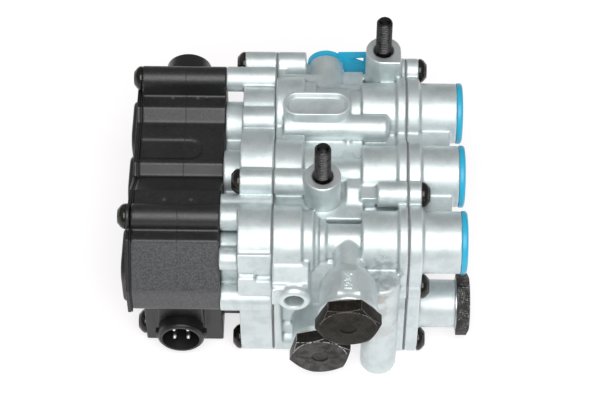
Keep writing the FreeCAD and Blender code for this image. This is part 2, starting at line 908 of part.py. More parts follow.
def gallery():
    """Tube beside the rear section, with the rib that runs down to a round tab."""
    y = S.spool_pitch - S.gallery_in
    length = S.gallery_length
    half = S.rib_thickness / 2
    rib_front = S.spool_pitch - S.rib_front_in
    rib_back = S.spool_pitch - S.rib_back_in
    pad_top = SPOOL_Z + S.pad_rise
    rib = [(rib_front, SPOOL_Z), (rib_back, SPOOL_Z), (rib_back, pad_top), (rib_front, WEB_TOP)]
    tab_top = WEB_TOP + S.tab_thickness
    tab_low = (S.rib_x - S.tab_half_width, S.tab_start, SPOOL_Z)
    return [
        cylinder((INSIDE_START, y, FLANGE_TOP), S.gallery_radius, length),
        cone((INSIDE_START + length, y, FLANGE_TOP), S.gallery_radius,
             S.gallery_radius - S.gallery_taper, S.gallery_taper),
        prism(rib, S.rib_x - half, S.rib_thickness),
        block(tab_low, (S.rib_x + S.tab_half_width, S.tab_end, tab_top)),
        cylinder((S.rib_x, S.tab_end, SPOOL_Z), S.tab_half_width, tab_top - SPOOL_Z, "+z"),
    ]


def rear_section():
    """Plain housing, oval pad and blocks of the rear section."""
    y = S.spool_pitch * 1
    tube_end = INSIDE_START + S.rear_tube_length
    pad_y = y - S.pad_in
    block_bottom = SPOOL_Z - S.block_drop
    block_low = (INSIDE_START, outward(S.rear_block_start_out), block_bottom)
    block_high = (S.rear_block_end, outward(S.rear_block_end_out), FLANGE_TOP)
    step_low = (S.step_block_start, outward(S.rear_block_start_out), block_bottom)
    step_high = (S.step_block_end, outward(S.step_block_out), SPOOL_Z + S.step_block_rise)
    return slot(S.pad_start, S.pad_length, pad_y, S.pad_half_width, SPOOL_Z, SPOOL_Z + S.pad_rise) + [
        cylinder((INSIDE_START, y, SPOOL_Z), S.rear_tube_radius, S.rear_tube_length),
        cylinder((tube_end, y, SPOOL_Z), S.rear_neck_radius, S.rear_neck_length),
        block(block_low, block_high),
        block(step_low, step_high),
    ]


def wedge():
    """Block beside the middle boss, with the slope that leads up to it."""
    slope = [
        (-S.wedge_slope_front, S.core_bottom), (-S.wedge_back, S.core_bottom),
        (-S.wedge_back, SPOOL_Z + S.wedge_rise), (-S.wedge_slope_back, SPOOL_Z + S.wedge_rise),
        (-S.wedge_slope_front, SPOOL_Z + S.wedge_slope_rise),
    ]
    upright = [
        (-S.wedge_front, S.core_bottom), (-S.wedge_back, S.core_bottom),
        (-S.wedge_back, SPOOL_Z + S.wedge_rise), (-S.wedge_front, SPOOL_Z + S.wedge_rise),
    ]
    return [
        prism(slope, S.wedge_start, S.wedge_middle - S.wedge_start),
        prism(upright, S.wedge_middle, S.wedge_end - S.wedge_middle),
    ]


def upper_port(y):
    """Boss of the upper screw plug, radial to the front spool, with its bare label panel."""
    x, z = S.upper_port_x, SPOOL_Z
    radius = S.upper_port_radius
    cone_start, cone_end = S.upper_port_cone_start, S.upper_port_cone_end
    collar = radius + S.port_collar_lip
    collar_start = S.upper_port_face - S.upper_port_collar_length
    half = S.label_half_width
    wide = half + S.label_flare
    flare_start = collar_start - S.label_flare_length
    label = [
        (x - wide, -collar_start), (x + wide, -collar_start), (x + half, -flare_start),
        (x + half, -cone_end), (x - half, -cone_end), (x - half, -flare_start),
    ]
    return [
        cylinder((x, y, z), S.upper_port_neck_radius, cone_start + y, "-y"),
        cone((x, -cone_start, z), S.upper_port_cone_radius, radius, cone_end - cone_start, "-y"),
        cylinder((x, -cone_end, z), radius, S.upper_port_face - cone_end, "-y"),
        cylinder((x, -collar_start, z), collar, S.upper_port_collar_length, "-y"),
        prism(label, z, radius + S.label_lip, plane="xy"),
    ]


def lower_port():
    """Boss of the lower screw plug, out of the foot of the casting."""
    x, z = S.lower_port_x, S.side_port_height
    collar = S.lower_port_collar_length
    collar_start = S.lower_port_face - collar
    tube = collar_start - S.lower_port_root
    return [
        cylinder((x, -S.lower_port_root, z), S.upper_port_radius, tube, "-y"),
        cylinder((x, -collar_start, z), S.upper_port_radius - S.lower_port_step, collar, "-y"),
    ]


def vent_boss(front):
    """Front boss of the vent with the wedge above it and its side gusset."""
    x, z = S.vent_x, S.vent_height
    rim_start = S.vent_face - S.vent_rim_length
    wedge_drop = S.vent_block_top - S.vent_block_drop
    root = -outward(S.core_front_out)
    section = [
        (-S.vent_block_front, z), (root, z), (root, S.vent_block_top),
        (front - S.left_housing_radius, S.vent_block_top), (-S.vent_block_front, wedge_drop),
    ]
    gusset = [
        (BODY_START, root), (x, root), (x, -S.vent_block_front), (BODY_START, -S.vent_gusset_front),
    ]
    gusset_bottom = z + S.vent_radius - S.vent_block_drop / 2 - S.vent_gusset_thickness
    return [
        cylinder((x, front, z), S.vent_radius, rim_start + front, "-y"),
        cone((x, -rim_start, z), S.vent_radius, S.vent_rim_radius, S.vent_rim_length, "-y"),
        prism(section, BODY_START, S.vent_block_end - BODY_START),
        prism(gusset, gusset_bottom, S.vent_gusset_thickness, plane="xy"),
    ]


def mounting_bosses():
    """Two drilled bosses and the blind foot boss, with the webs that tie them in."""
    length = S.boss_top - S.boss_bottom
    centres = ((S.rear_boss_x, REAR_BOSS_Y), (S.middle_boss_x, S.middle_boss_y))
    pieces = [cylinder((x, y, S.boss_bottom), S.boss_radius, length, "+z") for x, y in centres]
    back = REAR_BOSS_Y
    corner_low = (S.rear_boss_x, back - S.boss_radius, SPOOL_Z - S.block_drop)
    pieces.append(block(corner_low, (S.rear_boss_x + S.boss_radius, back, S.boss_top)))
    web_low = (S.rear_boss_x - S.boss_gusset, outward(S.core_back_out) - S.boss_radius, S.core_bottom)
    pieces.append(block(web_low, (INSIDE_END, back, S.boss_gusset_height)))
    x, y = S.foot_boss_x, FOOT_BOSS_Y
    pieces.append(cylinder((x, y, 0), S.boss_radius, S.foot_boss_top, "+z"))
    foot_high = (x + S.foot_web_half, -S.spool_pitch, S.foot_boss_top - S.foot_web_drop)
    pieces.append(block((x - S.foot_web_half, y, S.foot_web_bottom), foot_high))
    return pieces


def port_thread(x, face, z):
    """Threaded bore of a screw plug and the passage that joins it to the front spool."""
    return [
        cylinder((x, -face, z), S.plug_thread_radius, S.plug_thread_depth, "+y"),
        cylinder((x, -face, z), S.passage_radius - S.hole_spare, face - S.spool_pitch, "+y"),
    ]


def body_bores(front):
    """Everything that is drilled or cored out of the valve body."""
    tools = []
    for y in SPOOL_Y.values():
        tools += spool_bores(y)
    for y, z, reach in PLATE_SCREWS.values():
        tools.append(cylinder((BODY_START, y, z), SCREW_HOLE, reach + S.hole_spare))
    for y, z, reach in END_SCREWS.values():
        depth = reach + S.hole_spare
        tools.append(cylinder((BODY_END - depth, y, z), SCREW_HOLE, depth))
    recess_y = S.spool_pitch - S.pad_recess_in
    pad_top = SPOOL_Z + S.pad_rise
    tools += slot(S.pad_recess_start, S.pad_recess_length, recess_y, S.pad_recess_half_width,
                  pad_top - S.pad_recess_depth, pad_top + S.hole_spare)
    tools += port_thread(S.upper_port_x, S.upper_port_face, SPOOL_Z)
    tools += port_thread(S.lower_port_x, S.lower_port_face, S.side_port_height)
    side_start = S.lower_port_x - S.passage_radius
    tools.append(cylinder((side_start, front, S.side_port_height), S.passage_radius, BODY_END - side_start))
    rear_face = (S.rear_port_x, S.rear_port_face, SPOOL_Z - S.rear_port_drop)
    tools.append(cylinder(rear_face, S.rear_port_thread_radius, S.rear_port_depth, "-y"))
    tools.append(cylinder(rear_face, S.rear_passage_radius, S.rear_port_face - S.spool_pitch, "-y"))
    vent_face = (S.vent_x, -S.vent_face, S.vent_height)
    tools.append(cylinder(vent_face, S.vent_bore_radius, S.vent_depth, "+y"))
    for x, y in ((S.rear_boss_x, REAR_BOSS_Y), (S.middle_boss_x, S.middle_boss_y)):
        tools.append(cylinder((x, y, 0), S.bolt_hole_radius, S.boss_top + S.hole_spare, "+z"))
        pocket_radius = S.bolt_flange_radius + S.hole_spare
        tools.append(cylinder((x, y, -S.hole_spare), pocket_radius, S.boss_bottom + S.hole_spare, "+z"))
    return tools


def make_valve_body():
    front = -S.spool_pitch
    solids = flanges() + core() + square_housing() + gallery() + rear_section() + wedge()
    for y in SPOOL_Y.values():
        solids += spool_housing(y)
    rear_root = (S.rear_port_x, S.spool_pitch, SPOOL_Z - S.rear_port_drop)
    solids.append(cylinder(rear_root, S.rear_port_radius, S.rear_port_face - S.spool_pitch, "+y"))
    solids += vent_boss(front) + upper_port(front) + lower_port() + mounting_bosses()
    solids += lobes(PLATE_SCREWS, BODY_START, S.lobe_length)
    y, z, _ = PLATE_SCREWS["middle_top"]
    solids.append(cylinder((BODY_START, y, z), S.lobe_radius, S.middle_lobe_length))
    solids += lobes(END_SCREWS, BODY_END - S.lobe_length, S.lobe_length)
    keep("valve_body", cut(fuse(*solids), *body_bores(front)))


# Pilot plate

def plate_outside():
    """The plate itself, 16 mm thick, with its discs, lobes and front ledges."""
    start, thick = PLATE_START, S.plate_thickness
    pieces = foot_outline(start, thick)
    pieces += disc_outline(start, thick, S.plate_rear_radius)
    pieces.append(cylinder((start, S.plate_middle_back, SPOOL_Z), S.plate_middle_radius, thick))
    gallery_y = S.spool_pitch - S.plate_gallery_in
    pieces.append(cylinder((start, gallery_y, FLANGE_TOP), S.gallery_radius, thick))
    pieces += lobes(PLATE_SCREWS, start, thick)
    pieces += rear_filler(start, thick)
    root = -outward(S.core_front_out)
    ledge_out = -outward(S.plate_ledge_out)
    front = -outward(S.plate_front_out)
    ledge_top = SPOOL_Z - S.plate_ledge_drop
    half = start + thick / 2
    pieces.append(block((start, ledge_out, S.plate_ledge_bottom), (half, root, ledge_top)))
    notch = ledge_top - S.plate_ledge_notch
    pieces.append(block((half, ledge_out, S.plate_ledge_bottom), (0, root, notch)))
    pieces.append(block((start, front, notch), (0, root, SPOOL_Z + S.plate_front_rise)))
    return pieces


def plate_neck():
    """Tubes and webs that reach from the plate to the solenoid cover."""
    neck = S.neck_length
    whole = S.plate_thickness + neck
    pieces = []
    for word in ("rear", "middle"):
        y, z, _, _ = COVER_SCREWS[word]
        pieces.append(cylinder((NECK_END, y, z), S.lobe_radius + S.seal_gap, whole))
    tube_y, tube_z = -S.neck_middle_tube_front, SPOOL_Z + S.neck_middle_tube_rise
    pieces.append(cylinder((NECK_END, tube_y, tube_z), S.neck_middle_tube_radius, whole))
    lower_tube = (NECK_END, -outward(S.plate_tube_out), S.plate_tube_height)
    pieces.append(cylinder(lower_tube, S.plate_tube_radius, whole))
    web_front = S.cover_middle_screw_in - S.spool_pitch
    web_low = (NECK_END, web_front, SPOOL_Z - S.lobe_radius)
    pieces.append(block(web_low, (0, tube_y, SPOOL_Z + S.plate_web_rise)))
    forms = (
        (S.spool_pitch, S.neck_rear_drop, S.neck_rear_radius),
        (S.neck_middle_back, S.neck_middle_drop, S.neck_middle_radius),
        (-S.spool_pitch, S.neck_front_drop, S.neck_front_radius),
        (-outward(S.neck_front_tube_out), S.neck_front_tube_drop, S.neck_front_tube_radius),
    )
    for y, drop, radius in forms:
        pieces.append(cylinder((NECK_END, y, SPOOL_Z - drop), radius, neck))
    for word, y in SPOOL_Y.items():
        pieces.append(cylinder((NECK_END, y, COIL_Z[word]), S.neck_coil_radius, neck))
    low = (NECK_END, -outward(S.neck_core_out), S.neck_core_bottom)
    pieces.append(block(low, (PLATE_START, outward(S.neck_core_out), SPOOL_Z - S.neck_core_drop)))
    return pieces


def make_pilot_plate():
    casting = fuse(*plate_outside(), *plate_neck())
    tools = []
    socket = S.tube_radius + S.running_gap
    channel_x = size(0) - S.channel_inset
    socket_depth = S.tube_insert + S.seat_length + S.fit_gap * 2
    for word, y in SPOOL_Y.items():
        z = COIL_Z[word]
        tools.append(cylinder((NECK_END, y, z), socket, socket_depth))
        tools.append(cylinder((NECK_END, y, z), S.pilot_channel_radius, channel_x - NECK_END))
        tools.append(cylinder((channel_x, y, z), S.pilot_channel_radius, SPOOL_Z - z, "+z"))
        tools.append(cylinder((channel_x, y, SPOOL_Z), S.pilot_channel_radius, S.channel_inset))
    tools += clearance_holes(PLATE_SCREWS, PLATE_START, S.plate_thickness)
    for word in ("rear", "middle"):
        y, z, _, _ = COVER_SCREWS[word]
        tools.append(cylinder((NECK_END, y, z), COVER_SCREW_HOLE, S.cover_screw_reach + S.hole_spare))
    keep("pilot_plate", cut(casting, *tools))


# End cover

def make_end_cover():
    start = END_START
    solids = foot_outline(start, S.end_flange_thickness)
    solids += disc_outline(start, S.end_flange_thickness, S.disc_radius)
    solids += lobes(END_SCREWS, start, S.end_flange_thickness)
    for y in SPOOL_Y.values():
        solids.append(cylinder((start, y, SPOOL_Z), S.barrel_radius, BARREL_END - start))
    for y in (S.spool_pitch / -2, S.spool_pitch / 2):
        low = (start, y - S.end_web_half, SPOOL_Z - S.end_web_depth)
        high = (BARREL_END - S.end_web_setback, y + S.end_web_half, SPOOL_Z + S.end_web_rise)
        solids.append(block(low, high))
    side = (start, -S.spool_pitch, S.side_port_height)
    solids.append(cylinder(side, S.side_port_radius, SIDE_PORT_END - start))
    tools = []
    port_start = BARREL_END - S.barrel_port_depth
    for y in SPOOL_Y.values():
        tools.append(cylinder((start, y, SPOOL_Z), S.passage_radius, port_start - start))
        tools.append(cylinder((port_start, y, SPOOL_Z), S.barrel_port_radius, S.barrel_port_depth))
    tools.append(cylinder(side, S.passage_radius, SIDE_PORT_END - start))
    thread = (SIDE_PORT_END - S.plug_thread_depth, -S.spool_pitch, S.side_port_height)
    tools.append(cylinder(thread, S.plug_thread_radius, S.plug_thread_depth))
    tools += clearance_holes(END_SCREWS, start, S.end_flange_thickness)
    keep("end_cover", cut(fuse(*solids), *tools))


# Gaskets

def make_gaskets():
    thick = S.gasket_thickness
    joints = (
        ("body_gasket", size(0), PLATE_SCREWS, S.piston_bore_radius, S.plate_rear_radius),
        ("end_gasket", BODY_END, END_SCREWS, S.poppet_bore_radius, S.disc_radius),
    )
    for label, start, screws, bore, rear_radius in joints:
        solids = foot_outline(start, thick)
        solids += disc_outline(start, thick, rear_radius)
        solids += lobes(screws, start, thick)
        if screws is PLATE_SCREWS:
            solids += rear_filler(start, thick)
        tools = [cylinder((start, y, SPOOL_Z), bore, thick) for y in SPOOL_Y.values()]
        tools += clearance_holes(screws, start, thick)
        side = (start, -S.spool_pitch, S.side_port_height)
        tools.append(cylinder(side, S.passage_radius, thick))
        keep(label, cut(fuse(*solids), *tools))


# Solenoid cover and lid

COVER_FLOOR = S.coil_height - S.cover_floor_drop
COVER_STEP = outward(S.cover_step_out)
COVER_CHAMFER = S.cover_rear_rise - S.cover_middle_rise
COVER_SLOPE_END = S.coil_height + S.cover_slope_rise
COVER_OUTLINE = [
    (COVER_BACK, COVER_FLOOR),
    (COVER_BACK, S.coil_height + S.cover_rear_rise),
    (COVER_STEP, S.coil_height + S.cover_rear_rise),
    (COVER_STEP - COVER_CHAMFER, S.coil_height + S.cover_middle_rise),
    (S.cover_middle_edge, S.coil_height + S.cover_middle_rise),
    (S.cover_valley, S.coil_height + S.cover_valley_rise),
    (-S.cover_ridge, S.coil_height + S.cover_front_rise),
    (-outward(S.cover_slope_out), S.coil_height + S.cover_front_rise),
    (COVER_FRONT, COVER_SLOPE_END),
    (COVER_FRONT, COVER_FLOOR),
]


def cover_marks(body):
    """Slot-shaped recess and round ejector marks of the cover's top."""
    middle_top = S.coil_height + S.cover_middle_rise
    recess = new_sketch(body, "XY_Plane", middle_top)
    half_width = (S.cover_recess_back - S.cover_recess_front) / 2
    end = NECK_END - S.cover_recess_end
    centre = (COVER_END, S.cover_recess_front + half_width)
    draw_rounded_box(recess, centre, end - COVER_END, half_width, half_width - S.running_gap)
    pocket(body, recess, S.cover_recess_depth)
    places = (
        (outward(S.ejector_rear_out), S.cover_rear_rise),
        (-outward(S.ejector_front_out), S.cover_front_rise),
    )
    for y, rise in places:
        marks = new_sketch(body, "XY_Plane", S.coil_height + rise)
        for inset in (S.ejector_near, S.ejector_far):
            draw_circle(marks, (NECK_END - inset, y), S.ejector_mark_radius)
        pocket(body, marks, S.ejector_mark_depth)


def cover_outside(body):
    """Drawn upper section, narrower base, screw lobes and the root of the front connector."""
    upper = new_sketch(body, "YZ_Plane", COVER_END)
    draw_polygon(upper, COVER_OUTLINE)
    pad(body, upper, S.cover_length)
    front_edges = (COVER_SLOPE_END.number, COVER_FLOOR.number)
    round_edges(body, S.cover_front_rounding,
                lambda e: any(along_x(e, COVER_FRONT.number, z) for z in front_edges))
    base = new_sketch(body, "YZ_Plane", BASE_START)
    base_top = COVER_FLOOR + S.base_overlap
    draw_box(base, (-S.base_half_width, S.base_bottom), (S.base_half_width, base_top))
    pad(body, base, S.base_length)
    foot_z = S.coil_height + S.cover_middle_rise
    for word in ("rear", "middle"):
        y, z, _, _ = COVER_SCREWS[word]
        lobe = new_sketch(body, "YZ_Plane", COVER_END)
        draw_circle(lobe, (y, z), S.cover_lobe_radius)
        pad(body, lobe, S.cover_length)
        foot = new_sketch(body, "YZ_Plane", COVER_END)
        draw_box(foot, (y - S.cover_lobe_radius, foot_z), (y + S.cover_lobe_radius, z))
        pad(body, foot, S.cover_length)
    root = new_sketch(body, "XZ_Plane", S.base_half_width)
    low = (S.connector_x - S.connector_radius, S.front_connector_height)
    draw_box(root, low, (S.connector_x + S.connector_radius, S.connector_block_top))
    pad(body, root, S.connector_block_length)
    stub = new_sketch(body, "YZ_Plane", NECK_END)
    stub_low = (-outward(S.stub_out), S.stub_bottom)
    draw_box(stub, stub_low, (S.stub_out - S.spool_pitch, S.connector_block_top))
    pad(body, stub, S.neck_length)


def cover_inside(body):
    """Chamber for the coils, open to the lid, and the holes in the cover's walls."""
    chamber = new_sketch(body, "YZ_Plane", COVER_END)
    draw_polygon(chamber, drawn_in(COVER_OUTLINE, S.cover_wall))
    pocket(body, chamber, S.cover_length - S.cover_end_wall, reverse=True)
    lower = new_sketch(body, "YZ_Plane", BASE_START + S.cover_wall)
    low = (S.lower_chamber_in - S.base_half_width, S.base_bottom + S.cover_wall)
    draw_box(lower, low, (S.base_half_width - S.cover_wall, COVER_FLOOR + S.base_overlap))
    pocket(body, lower, S.base_length - S.cover_wall - S.cover_end_wall, reverse=True)
    tubes = new_sketch(body, "YZ_Plane", COVER_END)
    for word, y in SPOOL_Y.items():
        draw_circle(tubes, (y, COIL_Z[word]), S.tube_flange_radius + S.fit_gap)
    for word in ("rear", "middle"):
        y, z, _, _ = COVER_SCREWS[word]
        draw_circle(tubes, (y, z), COVER_SCREW_HOLE)
    pocket(body, tubes, S.cover_length, reverse=True)
    y, z, head, tip = COVER_SCREWS["base"]
    thread = new_sketch(body, "YZ_Plane", head)
    draw_circle(thread, (y, z), COVER_SCREW_HOLE)
    pocket(body, thread, tip - head + S.fit_gap, reverse=True)
    front = new_sketch(body, "XZ_Plane", S.base_half_width + S.connector_block_length)
    draw_circle(front, (S.connector_x, S.front_connector_height), S.connector_spigot_radius)
    pocket(body, front, S.connector_block_length + S.lower_chamber_in + S.fit_gap)
    rear = new_sketch(body, "XZ_Plane", -COVER_BACK)
    draw_circle(rear, (S.connector_x, S.rear_connector_height), S.connector_spigot_radius)
    pocket(body, rear, S.spigot_room, reverse=True)


def make_solenoid_cover():
    body = new_body("solenoid_cover")
    cover_outside(body)
    cover_inside(body)
    cover_marks(body)
    keep("solenoid_cover", body)


def make_lid():
    seal = new_body("lid_seal")
    frame = new_sketch(seal, "YZ_Plane", LID_START)
    draw_polygon(frame, drawn_in(COVER_OUTLINE, S.fit_gap))
    pad(seal, frame, S.lid_seal_thickness)
    window = new_sketch(seal, "YZ_Plane", LID_START)
    draw_polygon(window, drawn_in(COVER_OUTLINE, S.cover_wall))
    pocket(seal, window, S.lid_seal_thickness, reverse=True)
    keep("lid_seal", seal)

    y, z, _, _ = COVER_SCREWS["middle"]
    rear_y, rear_z, _, _ = COVER_SCREWS["rear"]
    lid = new_body("cover_lid")
    plate = new_sketch(lid, "YZ_Plane", LID_FACE)
    draw_polygon(plate, COVER_OUTLINE)
    pad(lid, plate, S.lid_thickness)
    lobe = new_sketch(lid, "YZ_Plane", LID_FACE)
    draw_circle(lobe, (y, z), S.cover_lobe_radius)
    pad(lid, lobe, S.lid_thickness)
    bulges = (
        (S.spool_pitch, S.bulge_drop, S.bulge_half),
        (S.middle_bulge_back, S.middle_bulge_drop, S.middle_bulge_half),
        (-S.spool_pitch, S.bulge_drop, S.bulge_half),
    )
    for bulge_y, drop, half in bulges:
        bulge = new_sketch(lid, "YZ_Plane", LID_FACE)
        draw_rounded_box(bulge, (bulge_y, S.coil_height - drop), half, half, S.bulge_corner)
        pad(lid, bulge, S.bulge_height, reverse=True)
    far = (LID_FACE - S.bulge_height).number
    round_edges(lid, S.bulge_rounding,
                lambda e: abs(e.BoundBox.XMin - far) < 0.01 and e.BoundBox.XLength < 0.01)
    # Screw hole, and the corner left free for the head of the rear screw
    hole = new_sketch(lid, "YZ_Plane", LID_FACE)
    draw_circle(hole, (y, z), COVER_SCREW_HOLE)
    draw_circle(hole, (rear_y, rear_z), S.screw_head_radius + S.fit_gap)
    pocket(lid, hole, S.lid_thickness, reverse=True)
    keep("cover_lid", lid)


# Connectors

def group(label, solids, at=(0, 0, 0), rotation=None):
    """Identical small pieces as separate solids of one sub-part."""
    thing = doc.addObject("Part::Feature", label)
    thing.Shape = Part.Compound(solids)
    return keep(label, thing, at, rotation)


def contact_pins(word, at, rotation, start, end):
    """Four round pins on the socket's floor, as separate solids."""
    half = (S.contact_spacing / 2).number
    radius = S.contact_radius
    pin = new_body(f"{word}_contact")
    revolve(pin, [(start, 0), (end, 0), (end, radius / 2), (end - radius, radius), (start, radius)])
    doc.recompute()
    solids = []
    for u in (-half, half):
        for v in (-half, half):
            solid = pin.Shape.copy()
            solid.translate(V(0, u, v))
            solids.append(solid)
    group(f"{word}_contacts", solids, at, rotation)


def make_connector(word, reach, root, depth, height, rotation, sign):
    """Round socket shell with bayonet lugs, standing along its own +X."""
    floor = reach - depth
    back = floor - S.connector_floor_thickness
    edge = S.connector_edge
    spigot = S.connector_spigot_radius - S.seal_gap
    body = new_body(f"{word}_connector")
    revolve(body, [
        (back, 0), (floor, 0), (floor, S.connector_socket_radius), (reach, S.connector_socket_radius),
        (reach, S.connector_radius - edge), (reach - edge, S.connector_radius),
        (0, S.connector_radius), (0, spigot), (back, spigot),
    ])
    lug = new_sketch(body, "XY_Plane", -S.lug_half_width)
    lug_end = reach - S.lug_setback
    lug_start = lug_end - S.lug_length
    foot, tip = S.connector_radius - edge / 2, S.connector_radius + S.lug_height
    draw_box(lug, (lug_start, foot), (lug_end, tip))
    draw_box(lug, (lug_start, -tip), (lug_end, -foot))
    pad(body, lug, S.lug_half_width * 2)
    at = (S.connector_x, sign * root, height)
    keep(f"{word}_connector", body, at, rotation)
    contact_pins(word, at, rotation, floor, reach - S.contact_inset)


def make_connectors():
    front_root = S.base_half_width + S.connector_block_length
    make_connector("front", S.front_connector_length, front_root, S.front_connector_depth,
                   S.front_connector_height, TO_MINUS_Y, -1)
    make_connector("rear", S.rear_connector_length, COVER_BACK, S.rear_connector_depth,
                   S.rear_connector_height, TO_PLUS_Y, 1)


# Solenoids and pilot valves

def make_coil(word, at):
    start = BASE_START + S.cover_wall + S.fit_gap - NECK_END
    end = -(S.cover_end_wall + S.fit_gap)
    bore, outer = S.coil_bore_radius, S.coil_radius
    waist = outer - S.coil_waist_depth
    first, second = start + S.coil_rim_width, end - S.coil_rim_width
    body = new_body(f"coil_{word}")
    revolve(body, [
        (start, bore), (end, bore), (end, outer), (second, outer),
        (second, waist), (first, waist), (first, outer), (start, outer),
    ])
    keep(f"coil_{word}", body, at)


def make_solenoid(word):
    """Coil, guide tube with its pole piece, armature, spring and pilot seat of one section."""
    at = (NECK_END, SPOOL_Y[word], COIL_Z[word])
    make_coil(word, at)
    tube_start = S.tube_insert - S.tube_length
    pole_end = tube_start + S.pole_length
    flange_start = S.fit_gap - S.cover_end_wall
    turned(f"core_tube_{word}", [
        (tube_start, 0), (pole_end, 0), (pole_end, S.tube_bore_radius), (S.tube_insert, S.tube_bore_radius),
        (S.tube_insert, S.tube_radius), (0, S.tube_radius), (0, S.tube_flange_radius),
        (flange_start, S.tube_flange_radius), (flange_start, S.tube_radius), (tube_start, S.tube_radius),
    ], at)
    seat_start = S.tube_insert + S.armature_stop_gap
    seat_end = seat_start + S.seat_length
    nozzle_tip = seat_start - S.nozzle_height
    play = S.armature_travel + S.armature_stop_gap
    start, end = pole_end + play, nozzle_tip - S.nozzle_gap
    radius = S.tube_bore_radius - S.running_gap
    pocket_end, pocket_radius = start + S.armature_spring_depth, S.armature_spring_bore_radius
    turned(f"armature_{word}", [
        (start, pocket_radius), (start, radius), (end - S.armature_edge, radius),
        (end, radius - S.armature_edge), (end, 0), (pocket_end, 0), (pocket_end, pocket_radius),
    ], at)
    spring(f"armature_spring_{word}", (at[0] + pole_end, at[1], at[2]), play + S.armature_spring_depth,
           S.armature_spring_radius, S.armature_spring_wire_width, 5)
    bore = S.pilot_channel_radius / 2
    turned(f"pilot_seat_{word}", [
        (nozzle_tip, bore), (seat_end, bore), (seat_end, S.tube_radius), (seat_start, S.tube_radius),
        (seat_start, S.nozzle_radius), (nozzle_tip, S.nozzle_tip_radius),
    ], at)


def spring(label, at, length, radius, wire, turns):
    """Compression spring along +X from a helix swept by its wire."""
    helix = doc.addObject("Part::Helix", "SpringLine")
    free = length - wire - S.seal_gap
    bind(helix, "Pitch", free / turns)
    bind(helix, "Height", free)
    bind(helix, "Radius", radius)
    ring = doc.addObject("Part::RegularPolygon", "Wire")
    ring.Polygon = 6
    bind(ring, "Circumradius", wire / 2)
    place(ring, (radius, 0, 0), FreeCAD.Rotation(V(1, 0, 0), 90))
    thing = doc.addObject("Part::Sweep", label)
    thing.Sections = [ring]
    thing.Spine = (helix, [])
    thing.Solid = True
    thing.Frenet = True
    start = (at[0] + wire / 2 + S.seal_gap / 2, at[1], at[2])
    keep(label, thing, start, ALONG["+x"])


# Spools

def ring_seal(label, floor, outside, starts, at):
    """Square-section rings in their grooves, one solid for each start."""
    gap, groove = S.seal_gap, S.seal_groove_width
    ring = new_body(f"{label}_ring")
    low, high = floor + S.running_gap, outside - S.running_gap
    revolve(ring, [(gap, low), (groove - gap, low), (groove - gap, high), (gap, high)])
    doc.recompute()
    solids = []
    for start in starts:
        solid = ring.Shape.copy()
        solid.translate(V(start.number, 0, 0))
        solids.append(solid)
    group(label, solids, at)


def make_spool(word):
    """Control piston and stem of one section, with its seals, poppet and return spring."""
    at = (size(0), SPOOL_Y[word], SPOOL_Z)
    start, groove = S.piston_start, S.seal_groove_width
    end = start + S.piston_length
    nub = start - S.piston_nub_length
    piston = S.piston_bore_radius - S.running_gap
    stem = S.stem_bore_radius - S.running_gap
    seal = start + (S.piston_length - groove) / 2
    piston_floor = piston - S.seal_depth
    stem_floor = stem - S.stem_seal_depth
    pin = S.poppet_pin_radius
    first = BODY_START + S.piston_bore_depth + S.stem_seal_inset
    second = BODY_END - S.poppet_bore_depth - S.stem_seal_setback
    poppet_start = BODY_END - S.poppet_bore_depth + S.fit_gap
    poppet_end = poppet_start + S.poppet_length
    turned(f"spool_{word}", [
        (nub, 0), (nub, S.piston_nub_radius), (start, S.piston_nub_radius),
        (start, piston), (seal, piston), (seal, piston_floor),
        (seal + groove, piston_floor), (seal + groove, piston), (end, piston), (end, stem),
        (first, stem), (first, stem_floor), (first + groove, stem_floor), (first + groove, stem),
        (second, stem), (second, stem_floor), (second + groove, stem_floor), (second + groove, stem),
        (poppet_start, stem), (poppet_start, pin), (poppet_end, pin), (poppet_end, 0),
    ], at)
    ring_seal(f"piston_seal_{word}", piston_floor, piston, [seal], at)
    ring_seal(f"stem_seals_{word}", stem_floor, stem, [first, second], at)
    pin_hole = pin + S.running_gap
    turned(f"poppet_{word}", [
        (poppet_start, pin_hole), (poppet_end, pin_hole),
        (poppet_end, S.poppet_radius - S.poppet_taper),
        (poppet_end - S.poppet_chamfer, S.poppet_radius), (poppet_start, S.poppet_radius),
    ], at)
    spring(f"return_spring_{word}", (poppet_end, at[1], at[2]), END_START - poppet_end,
           S.return_spring_radius, S.return_spring_wire_width, 4)


# Caps, plugs, bolts and screws

def cap_profile(outer, rim, spigot, edge):
    """Half section of a cap: rim, closed end and hollow spigot."""
    wall = S.cap_wall
    face = S.cap_rim_thickness
    return [
        (-spigot, outer - wall), (-wall, outer - wall), (-wall, 0), (face, 0), (face, rim - edge),
        (face - edge, rim), (0, rim), (0, outer), (-spigot, outer),
    ]


def make_port_caps():
    outer = S.barrel_port_radius - S.seal_gap
    for word, y in SPOOL_Y.items():
        profile = cap_profile(outer, S.cap_rim_radius, S.cap_spigot_length, S.cap_edge)
        turned(f"port_cap_{word}", profile, (BARREL_END, y, SPOOL_Z))


# Outline of the pull tab and of its window, in shares of the tab's length
PULL_TAB = (
    (0.29, 0.1), (0.29, 0.38), (1.0, 0.4), (1.0, -0.29), (0.67, -0.57), (0.43, -0.57), (0.43, 0.1),
)
PULL_TAB_WINDOW = ((0.57, 0.22), (0.9, 0.26), (0.9, 0.06))


